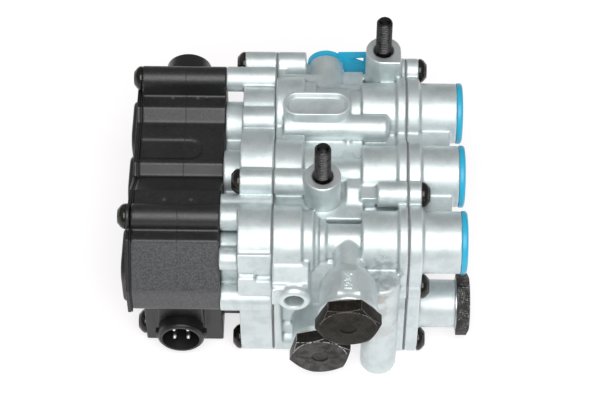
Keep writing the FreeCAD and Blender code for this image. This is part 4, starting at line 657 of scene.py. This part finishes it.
class Bench:
    """Blender's operators, with the selection and modes they need."""

    @staticmethod
    def clear() -> None:
        """Leave edit mode and deselect everything."""
        if bpy.context.object is not None and bpy.context.object.mode != "OBJECT":
            bpy.ops.object.mode_set(mode="OBJECT")
        bpy.ops.object.select_all(action="DESELECT")

    @classmethod
    def take(cls, piece: bpy.types.Object) -> None:
        """Make a piece the only selected and active one.

        Args:
            piece: the object.
        """
        cls.clear()
        piece.select_set(True)
        bpy.context.view_layer.objects.active = piece

    @classmethod
    def copy_of(cls, node: str, name: str) -> bpy.types.Object:
        """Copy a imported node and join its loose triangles.

        Args:
            node: the node's name.
            name: name of the copy.

        Returns:
            The copy, as one closed mesh at the origin.
        """
        source = frame["nodes"][node]
        mesh = source.data.copy()
        mesh.name = name
        piece = bpy.data.objects.new(name, mesh)
        bpy.context.scene.collection.objects.link(piece)
        mesh.materials.clear()
        cls.take(piece)
        bpy.ops.object.mode_set(mode="EDIT")
        bpy.ops.mesh.select_all(action="SELECT")
        bpy.ops.mesh.remove_doubles(threshold=0.002 * MM)
        bpy.ops.mesh.customdata_custom_splitnormals_clear()
        bpy.ops.object.mode_set(mode="OBJECT")
        return piece

    @classmethod
    def join_flat_faces(cls, piece: bpy.types.Object) -> None:
        """Dissolve the edges inside flat faces, so that a bevel isn't held back by them.

        Args:
            piece: the object.
        """
        cls.take(piece)
        bpy.ops.object.mode_set(mode="EDIT")
        bpy.ops.mesh.select_all(action="SELECT")
        bpy.ops.mesh.dissolve_limited(angle_limit=math.radians(0.5))
        bpy.ops.object.mode_set(mode="OBJECT")

    @classmethod
    def select(cls, piece: bpy.types.Object, wanted: Callable[[Vector], bool]) -> None:
        """Enter edit mode with only the wanted vertices selected.

        Args:
            piece: the object to edit.
            wanted: test of a vertex's place.
        """
        cls.take(piece)
        bpy.ops.object.mode_set(mode="EDIT")
        bpy.ops.mesh.select_mode(type="VERT")
        bpy.ops.mesh.select_all(action="DESELECT")
        bpy.ops.object.mode_set(mode="OBJECT")
        for vertex in piece.data.vertices:
            vertex.select = wanted(vertex.co)
        bpy.ops.object.mode_set(mode="EDIT")

    @classmethod
    def modify(cls, piece: bpy.types.Object, kind: str, **settings: object) -> None:
        """Add a modifier and apply it.

        Args:
            piece: the object to change.
            kind: the modifier's type.
            settings: its properties.
        """
        cls.take(piece)
        modifier = piece.modifiers.new(kind.title(), kind)
        for name, setting in settings.items():
            setattr(modifier, name, setting)
        bpy.ops.object.modifier_apply(modifier=modifier.name)

    @classmethod
    def smooth_faces(cls, piece: bpy.types.Object, angle: float = 180.0) -> None:
        """Shade smooth up to an angle between faces, in degrees."""
        cls.take(piece)
        bpy.ops.object.shade_smooth_by_angle(angle=math.radians(angle))

    @classmethod
    def outline(cls, name: str, points: Sequence[Point]) -> bpy.types.Object:
        """Draw an open line by extruding one vertex from point to point.

        Args:
            name: name of the new object.
            points: the line's points, in metres.

        Returns:
            The line, as an object at the origin.
        """
        cls.clear()
        bpy.ops.mesh.primitive_plane_add(size=1.0, location=(0.0, 0.0, 0.0))
        piece = bpy.context.object
        piece.name = name
        bpy.ops.object.mode_set(mode="EDIT")
        bpy.ops.mesh.select_all(action="SELECT")
        bpy.ops.mesh.merge(type="CENTER")
        bpy.ops.transform.translate(value=points[0])
        for start, end in zip(points, points[1:]):
            step = Vector(end) - Vector(start)
            bpy.ops.mesh.extrude_region_move(TRANSFORM_OT_translate={"value": step})
        bpy.ops.object.mode_set(mode="OBJECT")
        return piece

    @classmethod
    def settle(cls, piece: bpy.types.Object, turn: Optional[Matrix] = None,
               at: Optional[Vector] = None) -> None:
        """Put a piece at its place, with that place in its mesh.

        Args:
            piece: the object.
            turn: rotation about the origin.
            at: place of its own origin in the frame.
        """
        if turn is not None:
            piece.data.transform(turn)
        if at is not None:
            piece.data.transform(Matrix.Translation(at))
        piece.matrix_world = Matrix.Identity(4)
        piece.data.update()

    @classmethod
    def cut(cls, piece: bpy.types.Object, height: float, above: bool) -> None:
        """Cut a piece off at a height in millimetres and close the cut.

        Args:
            piece: the object.
            height: where it is cut.
            above: whether the upper side goes.
        """
        cls.take(piece)
        bpy.ops.object.mode_set(mode="EDIT")
        bpy.ops.mesh.select_all(action="SELECT")
        bpy.ops.mesh.bisect(plane_co=(0, 0, height * MM), plane_no=(0, 0, 1), use_fill=True,
                            clear_outer=above, clear_inner=not above)
        bpy.ops.mesh.select_all(action="SELECT")
        bpy.ops.mesh.normals_make_consistent(inside=False)
        bpy.ops.object.mode_set(mode="OBJECT")

    @classmethod
    def cut_above(cls, piece: bpy.types.Object, height: float) -> None:
        """Take away what lies above a height in millimetres."""
        cls.cut(piece, height, above=True)

    @classmethod
    def cut_below(cls, piece: bpy.types.Object, height: float) -> None:
        """Take away what lies below a height in millimetres."""
        cls.cut(piece, height, above=False)

    @classmethod
    def taper_top(cls, piece: bpy.types.Object, top: float, length: float, radius: float) -> None:
        """Chamfer the upper end of a round piece about the Z axis.

        Args:
            piece: the object.
            top: height of its end, in millimetres.
            length: length of the chamfer.
            radius: radius where the chamfer starts.
        """
        for vertex in piece.data.vertices:
            above = vertex.co.z / MM - (top - length)
            reach = math.hypot(vertex.co.x, vertex.co.y) / MM
            most = radius - above
            if above > 0.0 and reach > most:
                vertex.co.x *= most / reach
                vertex.co.y *= most / reach

    @classmethod
    def join(cls, name: str, pieces: Sequence[bpy.types.Object]) -> bpy.types.Object:
        """Join several objects into one.

        Args:
            name: name of the whole.
            pieces: the objects.

        Returns:
            The joined object.
        """
        cls.clear()
        for piece in pieces:
            piece.select_set(True)
        bpy.context.view_layer.objects.active = pieces[0]
        bpy.ops.object.join()
        joined = bpy.context.object
        joined.name = name
        return joined


def dress(piece: bpy.types.Object, material: Optional[bpy.types.Material],
          nodes: Sequence[str] = (), body: Optional[str] = HOUSING) -> None:
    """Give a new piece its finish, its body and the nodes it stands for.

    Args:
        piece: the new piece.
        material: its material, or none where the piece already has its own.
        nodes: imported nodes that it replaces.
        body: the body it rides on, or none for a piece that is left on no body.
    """
    if material is not None:
        piece.data.materials.clear()
        piece.data.materials.append(material)
    if nodes:
        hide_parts(*nodes)
    if body is not None:
        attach(piece, body)
    LOG.info("%s: %d faces", piece.name, len(piece.data.polygons))


# Sub-assemblies


@dataclass
class Casting:
    """A die casting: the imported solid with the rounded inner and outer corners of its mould."""

    node: str
    finish: Union[CastAluminium, MouldedPlastic]
    slot: Finish = Finish.CASTING
    cell: float = 0.62
    softening: int = 5
    most_triangles: int = 185000

    def build(self) -> bpy.types.Object:
        """Model and dress the casting.

        Returns:
            The finished piece.
        """
        piece = Bench.copy_of(self.node, f"cast_{self.node}")
        Bench.modify(piece, "REMESH", mode="VOXEL", voxel_size=self.cell * MM)
        Bench.modify(piece, "SMOOTH", factor=0.5, iterations=self.softening)
        triangles = 2 * len(piece.data.polygons)
        if triangles > self.most_triangles:
            Bench.modify(piece, "DECIMATE", ratio=self.most_triangles / triangles)
        Bench.smooth_faces(piece)
        dress(piece, self.finish.material(), [self.node])
        return piece


@dataclass
class SoftEdged:
    """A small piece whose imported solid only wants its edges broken."""

    node: str
    material: bpy.types.Material
    slot: Finish
    edge: float = 0.3
    smooth_angle: float = 40.0
    sharpest: float = 35.0
    edge_material: Optional[bpy.types.Material] = None

    def build(self) -> bpy.types.Object:
        """Model and dress the piece.

        Returns:
            The finished piece.
        """
        piece = Bench.copy_of(self.node, f"{self.node}_finished")
        finishes = [self.material] + ([self.edge_material] if self.edge_material else [])
        for finish in finishes:
            piece.data.materials.append(finish)
        Bench.join_flat_faces(piece)
        Bench.modify(piece, "BEVEL", width=self.edge * MM, segments=2, limit_method="ANGLE",
                     angle_limit=math.radians(self.sharpest), harden_normals=False,
                     material=len(finishes) - 1)
        Bench.smooth_faces(piece, self.smooth_angle)
        dress(piece, None, [self.node])
        return piece


@dataclass
class CoilSpring:
    """Helical spring between the piece it pushes and its fixed seat."""

    node: str
    pushed: str
    seat_on_right: bool
    material: bpy.types.Material

    def build(self) -> bpy.types.Object:
        """Dress the spring on no body and bake its place into its mesh.

        Returns:
            The finished piece.
        """
        low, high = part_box(self.node)
        piece = Bench.copy_of(self.node, f"{self.node}_finished")
        Bench.smooth_faces(piece, 40.0)
        dress(piece, self.material, [self.node], body=None)
        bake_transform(piece)
        return piece


@dataclass
class MountingBolt:
    """M8 bolt standing in a mounting boss, with a helical thread on its free end.

    The flank gives where the thread starts to rise and where its crest starts and ends, as
    shares of the pitch.
    """

    node: str
    boss_top: float
    outer: float = 3.95
    root: float = 3.22
    pitch: float = 1.25
    flank: tuple[float, float, float] = (0.08, 0.44, 0.64)
    steps: int = 36
    point: float = 1.0
    thread_gap: float = 1.0
    tip_rise: float = 0.08

    def build(self) -> bpy.types.Object:
        """Model and dress the bolt.

        Returns:
            The finished piece.
        """
        low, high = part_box(self.node)
        axis = Vector(((low.x + high.x) / 2, (low.y + high.y) / 2, 0.0))
        thread = self.thread(high.z / MM - self.tip_rise)
        Bench.settle(thread, at=axis)
        head = Bench.copy_of(self.node, f"{self.node}_head")
        Bench.cut_above(head, self.boss_top + self.thread_gap)
        piece = Bench.join(f"{self.node}_finished", [thread, head])
        Bench.smooth_faces(piece, 32.0)
        thread_round = (axis.x / MM, axis.y / MM, self.outer)
        finish = BlackSteel(f"{self.node}_steel", roughness=0.30, thread=thread_round)
        dress(piece, finish.material(), [self.node])
        return piece

    def thread(self, top: float) -> bpy.types.Object:
        """Wind the thread and trim it to the bolt's free end.

        Args:
            top: height of the bolt's tip, in millimetres.

        Returns:
            The thread about the Z axis.
        """
        start = self.boss_top + self.thread_gap
        low = start - 2 * self.pitch
        rise, crest, fall = (low + self.pitch * share for share in self.flank)
        profile = [(self.root, low), (self.root, rise), (self.outer, crest), (self.outer, fall),
                   (self.root, low + self.pitch)]
        piece = Bench.outline("thread", [(r * MM, 0.0, z * MM) for r, z in profile])
        turns = math.ceil((top - low) / self.pitch) + 1
        Bench.modify(piece, "SCREW", axis="Z", angle=math.tau, screw_offset=self.pitch * MM,
                     iterations=turns, steps=self.steps, render_steps=self.steps,
                     use_merge_vertices=True, merge_threshold=0.002 * MM)
        Bench.cut_above(piece, top)
        Bench.cut_below(piece, start)
        Bench.taper_top(piece, top, self.point, self.outer)
        return piece


@dataclass
class ScrewPlug:
    """Hexagon screw plug with broken edges, the wear of its finish and bright chips on its upper
    edges that are partly a painted highlight.
    """

    node: str
    axis: str
    half_flats: float = 13.5
    edge: float = 0.62
    specks: float = 0.25
    wear: float = 0.5
    highlight_above: float = 2.0
    mirror: float = 0.5
    front: Colour = (0.020, 0.019, 0.0165)
    facet: Colour = (0.011, 0.0095, 0.007)

    def build(self) -> bpy.types.Object:
        """Model and dress the plug.

        Returns:
            The finished piece.
        """
        low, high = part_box(self.node)
        centre = (low + high) / 2
        if self.axis == "Y":
            centre.y = low.y
        else:
            centre.x = high.x
        place = tuple(c / MM for c in centre)
        finish = Phosphate(f"{self.node}_steel", self.axis, place, self.half_flats,
                           front=self.front, facet=self.facet, specks=self.specks,
                           mirror=self.mirror)
        worn_and_lit = WornLitEdge(f"{self.node}_edges", place[2] + self.highlight_above, self.wear)
        return SoftEdged(self.node, finish.material(), Finish.PLUGS, edge=self.edge,
                         smooth_angle=20.0, sharpest=18.0, edge_material=worn_and_lit.material()).build()


@dataclass
class SlotPad:
    """Raised oval pad over the rear section, with a sloping recess in its top.

    Its foot is stepped up on the side of the spool's bore.
    """

    material: bpy.types.Material
    low_x: float = 3.9
    high_x: float = 36.9
    middle_y: float = 29.4
    half_width: float = 7.5
    top: float = 92.2
    height: float = 12.0
    rim: float = 1.3
    recess_slope: float = 1.2
    recess_depth: float = 2.2
    edge: float = 0.5
    bore_side: float = -2.5
    bore_clearance: float = 4.0
    sides: int = 46

    def build(self) -> bpy.types.Object:
        """Model and dress the pad.

        Returns:
            The finished piece.
        """
        Bench.clear()
        bpy.ops.mesh.primitive_circle_add(vertices=self.sides, radius=self.half_width * MM,
                                          fill_type="NGON", location=(0.0, 0.0, 0.0))
        piece = bpy.context.object
        piece.name = "slot_pad"
        reach = (self.high_x - self.low_x) / 2 - self.half_width
        for side in (1, -1):
            Bench.select(piece, lambda place: place.x * side > 0)
            bpy.ops.transform.translate(value=(side * reach * MM, 0, 0))
            bpy.ops.object.mode_set(mode="OBJECT")
        Bench.take(piece)
        bpy.ops.object.mode_set(mode="EDIT")
        bpy.ops.mesh.select_mode(type="FACE")
        bpy.ops.mesh.select_all(action="SELECT")
        rise = (0, 0, self.height * MM)
        bpy.ops.mesh.extrude_region_move(TRANSFORM_OT_translate={"value": rise})
        bpy.ops.mesh.inset(thickness=self.rim * MM, depth=0.0)
        bpy.ops.mesh.inset(thickness=self.recess_slope * MM, depth=-self.recess_depth * MM)
        bpy.ops.mesh.select_all(action="SELECT")
        bpy.ops.mesh.normals_make_consistent(inside=False)
        bpy.ops.mesh.select_mode(type="VERT")
        Bench.select(piece, lambda place: place.z < MM and place.y > self.bore_side * MM)
        bpy.ops.transform.translate(value=(0, 0, self.bore_clearance * MM))
        bpy.ops.object.mode_set(mode="OBJECT")
        Bench.modify(piece, "BEVEL", width=self.edge * MM, segments=3, limit_method="ANGLE",
                     angle_limit=math.radians(25.0))
        middle = (self.low_x + self.high_x) / 2
        Bench.settle(piece, at=row_point(middle, self.middle_y, self.top - self.height))
        Bench.smooth_faces(piece, 35.0)
        dress(piece, self.material)
        return piece


@dataclass
class ContactPins:
    """Contact pins of a connector with round tips that carry a painted highlight."""

    node: str
    outward: float
    longer: float = 3.0
    tip: float = 0.45
    end_zone: float = 1.0

    def build(self) -> bpy.types.Object:
        """Model and dress the pins of one connector.

        Returns:
            The finished piece.
        """
        piece = Bench.copy_of(self.node, f"{self.node}_finished")
        ends = [vertex.co.y * self.outward for vertex in piece.data.vertices]
        free_end = max(ends) - self.end_zone * MM
        Bench.select(piece, lambda place: place.y * self.outward > free_end)
        bpy.ops.transform.translate(value=(0, self.outward * self.longer * MM, 0))
        bpy.ops.object.mode_set(mode="OBJECT")
        Bench.modify(piece, "BEVEL", width=self.tip * MM, segments=4, limit_method="ANGLE",
                     angle_limit=math.radians(35.0))
        Bench.smooth_faces(piece, 50.0)
        low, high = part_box(self.node)
        reach = (high.y if self.outward > 0 else low.y) / MM + self.outward * self.longer
        finish = LitTipPin(f"{self.node}_tips", reach)
        dress(piece, finish.material(), [self.node])
        return piece


@dataclass
class CastNumber:
    """Plain raised digits on the label panel of the upper port."""

    digits: str
    material: bpy.types.Material
    size: float = 5.0
    height: float = 0.45
    rounding: float = 0.12
    panel_middle: Point = (36.3, -73.2, 86.95)

    def build(self) -> bpy.types.Object:
        """Model and dress the digits.

        Returns:
            The finished piece.
        """
        Bench.clear()
        bpy.ops.object.text_add(location=(0.0, 0.0, 0.0))
        piece = bpy.context.object
        piece.name = "cast_number"
        piece.data.body = self.digits
        piece.data.align_x = "CENTER"
        piece.data.align_y = "CENTER"
        piece.data.size = self.size * MM
        piece.data.extrude = self.height * MM
        piece.data.bevel_depth = self.rounding * MM
        piece.data.resolution_u = 6
        bpy.ops.object.convert(target="MESH")
        piece = bpy.context.object
        quarter_turn = Matrix.Rotation(math.radians(90.0), 4, "Z")
        Bench.settle(piece, quarter_turn, row_point(*self.panel_middle))
        Bench.smooth_faces(piece, 40.0)
        dress(piece, self.material)
        return piece


# Studio


@dataclass(frozen=True)
class SoftBox:
    """Square soft lamp that faces the valve, with sizes in metres and its power in watts."""

    name: str
    at: Point
    size: float
    watts: float
    towards: Point = (0.0, 0.0, 0.05)

    def build(self) -> None:
        """Add the lamp."""
        data = bpy.data.lights.new(self.name, "AREA")
        data.shape = "SQUARE"
        data.size = self.size
        data.energy = self.watts
        light = bpy.data.objects.new(self.name, data)
        light.location = self.at
        way = Vector(self.towards) - Vector(self.at)
        light.rotation_euler = way.to_track_quat("-Z", "Y").to_euler()
        bpy.context.scene.collection.objects.link(light)


@dataclass
class Studio:
    """Pale floor, soft lamps and the photograph's viewing angle."""

    elevation: float = 52.541
    azimuth: float = -1.123
    roll: float = -0.264
    focal_pixels: float = 2076.925
    image_width: float = 600.0
    distance: float = 1032.886
    aim: Point = (12.487, 1.871, 50.0)
    sensor: float = 36.0
    ambient: float = 0.28
    floor_colour: Colour = (0.98, 0.965, 0.975)
    floor_glow: float = 1.3
    floor_white: float = 0.53
    floor_size: float = 6.0
    lamps: tuple[SoftBox, ...] = (
        SoftBox("key_box", (0.08, -0.70, 1.22), 1.15, 17.5),
        SoftBox("flash", (-0.05, -0.75, 1.05), 0.07, 0.45),
    )

    def camera(self) -> None:
        """Set up the camera at the photograph's viewing angle."""
        tilt, swing, roll = (math.radians(a) for a in (self.elevation, self.azimuth, self.roll))
        forward = Vector((math.sin(swing) * math.cos(tilt), math.cos(swing) * math.cos(tilt),
                          -math.sin(tilt)))
        level = Vector((math.cos(swing), -math.sin(swing), 0.0))
        above = level.cross(forward)
        right = level * math.cos(roll) + above * math.sin(roll)
        up = above * math.cos(roll) - level * math.sin(roll)
        place = row_point(*self.aim) - forward * self.distance * MM
        data = bpy.data.cameras.new("photo_view")
        data.sensor_width = self.sensor
        data.lens = self.sensor * self.focal_pixels / self.image_width
        data.clip_start = 0.05
        data.clip_end = 20.0
        camera = bpy.data.objects.new("photo_view", data)
        camera.matrix_world = Matrix((
            (right.x, up.x, -forward.x, place.x),
            (right.y, up.y, -forward.y, place.y),
            (right.z, up.z, -forward.z, place.z),
            (0.0, 0.0, 0.0, 1.0),
        ))
        bpy.context.scene.collection.objects.link(camera)
        bpy.context.scene.camera = camera

    @staticmethod
    def seen_rays(g: Graph) -> Value:
        """Which rays see the white floor.

        Args:
            g: the floor's graph.

        Returns:
            1 for the camera's rays, reflected ones and those through clear pieces, 0 for the rest.
        """
        rays = [g.node("ShaderNodeLightPath", output=f"Is {kind} Ray")
                for kind in ("Camera", "Glossy", "Transmission")]
        return rays[0].highest(rays[1]).highest(rays[2])

    def floor(self) -> None:
        """Lay the pale floor, which is white in the picture and keeps the valve's shadow."""
        Bench.clear()
        bpy.ops.mesh.primitive_plane_add(size=self.floor_size, location=(0.0, 0.0, 0.0))
        floor = bpy.context.object
        floor.name = "floor"
        g = Graph("pale_floor")
        paint = g.node("ShaderNodeBsdfDiffuse", None, {"Color": self.floor_colour})
        glow = g.node("ShaderNodeEmission", None,
                      {"Color": self.floor_colour, "Strength": self.floor_glow})
        share = self.seen_rays(g) * self.floor_white
        mixed = g.node("ShaderNodeMixShader", None, {0: share, 1: paint, 2: glow})
        floor.data.materials.append(g.close(mixed))

    def world(self) -> None:
        """Make the surroundings plain white, at a low strength."""
        world = bpy.data.worlds.new("studio")
        bpy.context.scene.world = world
        world.use_nodes = True
        sky = next(node for node in world.node_tree.nodes if node.type == "BACKGROUND")
        sky.inputs["Color"].default_value = (1.0, 1.0, 1.0, 1.0)
        sky.inputs["Strength"].default_value = self.ambient

    def build(self) -> None:
        """Set up everything that isn't the valve."""
        self.camera()
        self.floor()
        self.world()
        for lamp in self.lamps:
            lamp.build()
        bpy.context.scene.view_settings.view_transform = "Standard"


# The whole valve


def plain_materials() -> dict[Finish, bpy.types.Material]:
    """Make one material for each slot of the record.

    Returns:
        The materials by slot.
    """
    finishes = {
        Finish.GASKET: SmoothPlastic("gasket_sheet", (0.26, 0.27, 0.27), 0.6),
        Finish.RUBBER: SmoothPlastic("seal_rubber", (0.015, 0.015, 0.016), 0.55),
        Finish.STEEL: PlainMetal("turned_steel", (0.56, 0.57, 0.58), 0.3),
        Finish.SPRING: PlainMetal("spring_wire", (0.5, 0.5, 0.5), 0.28),
        Finish.BRASS: PlainMetal("turned_brass", (0.72, 0.56, 0.27), 0.28),
        Finish.SPOOL: PlainMetal("anodised_spool", (0.60, 0.61, 0.63), 0.35),
        Finish.COIL: SmoothPlastic("coil_body", (0.02, 0.02, 0.022), 0.4),
        Finish.CONTACTS: PlainMetal("tinned_contacts", (0.90, 0.89, 0.86), 0.42),
        Finish.WASHERS: PlainMetal("plain_washers", (0.62, 0.63, 0.65), 0.35),
        Finish.CASTING: CastAluminium(),
        Finish.COVER: MouldedPlastic("cover_plastic"),
        Finish.LID: MouldedPlastic("lid_plastic"),
        Finish.CONNECTOR: SmoothPlastic("connector_plastic", (0.012, 0.012, 0.013), 0.32),
        Finish.CAPS: SmoothPlastic("blue_cap_plastic", (0.023, 0.434, 0.665), 0.34),
        Finish.SCREWS: BlackSteel("black_screws", (0.009, 0.0088, 0.007), (0.030, 0.028, 0.020),
                                  roughness=0.13),
        Finish.BOLTS: BlackSteel("black_bolts", roughness=0.30),
        Finish.PLUGS: BlackSteel("plug_steel", roughness=0.4),
    }
    return {slot: finish.material() for slot, finish in finishes.items()}


def milled_faces() -> tuple[MachinedFace, ...]:
    """Find the bright milled faces of the valve body.

    Returns:
        The tops of the two bosses and the seats of the upper and lower plug.
    """
    return (
        MachinedFace("Z", frame_place(53.3, 62.6, BOSS_TOP), 13.0),
        MachinedFace("Z", frame_place(23.7, -17.4, BOSS_TOP), 13.0),
        MachinedFace("Y", frame_place(36.3, -83.0, 72.6), 14.0),
        MachinedFace("Y", frame_place(23.3, -65.5, 21.7), 16.0),
    )


def foot_painted_light() -> tuple[PaintedLightPatch, ...]:
    """Place the painted reflection and painted shade around the foot boss of the valve body.

    Returns:
        Three brown patches of painted reflection of the black plug and three grey patches of
        painted shade.
    """
    grey = (0.30, 0.33, 0.335)
    # brown patches: painted reflection of the black plug on the foot boss; grey patches: painted
    # shade on the low front faces
    return (
        PaintedLightPatch(frame_place(50.9, -67.5, 65.0), 5.0, 0.60),
        PaintedLightPatch(frame_place(52.2, -68.0, 54.0), 6.0, 0.40),
        PaintedLightPatch(frame_place(54.0, -68.0, 38.0), 7.0, 0.25),
        PaintedLightPatch(frame_place(55.0, -60.0, 74.0), 10.0, 0.65, grey),
        PaintedLightPatch(frame_place(48.0, -58.0, 66.0), 9.0, 0.55, grey),
        PaintedLightPatch(frame_place(62.0, -60.0, 45.0), 9.0, 0.35, grey),
    )


def cover_finish() -> MouldedPlastic:
    """Place the traces of its mould and the painted sheen of its front on the solenoid cover.

    Returns:
        The cover's finish.
    """
    mould_line = frame_place(COVER_MOULD_LINE, 0.0, 0.0)[0]
    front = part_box("solenoid_cover")[0].y / MM
    marks = tuple(frame_place(x, y, 0.0)[:2] for x, y in EJECTOR_MARKS)
    return MouldedPlastic("cover_moulding", lines=(mould_line,), marks=marks,
                          sheen_before=front + COVER_FRONT_SLOPE)


def dress_packed_nodes(plain: dict[Finish, bpy.types.Material]) -> None:
    """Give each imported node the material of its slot.

    Args:
        plain: the materials by slot.
    """
    slots = {entry["node"]: entry["material_slot"] for entry in frame["record"]["subparts"]}
    for name, node in frame["nodes"].items():
        for holder in node.material_slots:
            holder.material = plain[Finish(slots[name])]


def main() -> None:
    """Dress the whole valve and set up its studio."""
    logging.basicConfig(level=logging.INFO)
    plain = plain_materials()
    dress_packed_nodes(plain)
    body_finish = CastAluminium("cast_valve_body", faces=milled_faces(), light_patches=foot_painted_light())
    Casting("valve_body", body_finish).build()
    Casting("pilot_plate", CastAluminium("cast_pilot_plate")).build()
    Casting("end_cover", CastAluminium("cast_end_cover")).build()
    Casting("solenoid_cover", cover_finish(), Finish.COVER, softening=3).build()
    lid_finish = MouldedPlastic("lid_moulding")
    Casting("cover_lid", lid_finish, Finish.LID, cell=0.5, softening=3).build()
    for node in ("rear_mounting_bolt", "middle_mounting_bolt"):
        MountingBolt(node, BOSS_TOP).build()
    ScrewPlug("upper_plug", "Y", specks=0.12, wear=0.8, mirror=0.10, front=(0.024, 0.021, 0.016),
              facet=(0.012, 0.0095, 0.007)).build()
    ScrewPlug("lower_plug", "Y", specks=0.14, wear=0.6, mirror=0.2,
              front=(0.085, 0.084, 0.078)).build()
    ScrewPlug("side_plug", "X", specks=0.9, wear=0.3, mirror=0.15,
              facet=(0.016, 0.016, 0.015)).build()
    for node in ("cover_screws", "plate_screws", "end_cover_screws"):
        SoftEdged(node, plain[Finish.SCREWS], Finish.SCREWS).build()
    for node in ("front_connector", "rear_connector"):
        SoftEdged(node, plain[Finish.CONNECTOR], Finish.CONNECTOR).build()
    wire = plain[Finish.SPRING]
    for word in SECTIONS:
        SoftEdged(f"port_cap_{word}", plain[Finish.CAPS], Finish.CAPS).build()
        CoilSpring(f"return_spring_{word}", f"spool_{word}_body", True, wire).build()
        CoilSpring(f"armature_spring_{word}", f"armature_{word}_body", False, wire).build()
    for node, outward in (("front_contacts", -1.0), ("rear_contacts", 1.0)):
        ContactPins(node, outward).build()
    CastNumber("1234", CastAluminium("cast_number").material()).build()
    SlotPad(CastAluminium("cast_slot_pad").material()).build()
    Studio().build()


if __name__ == "__main__":
    main()
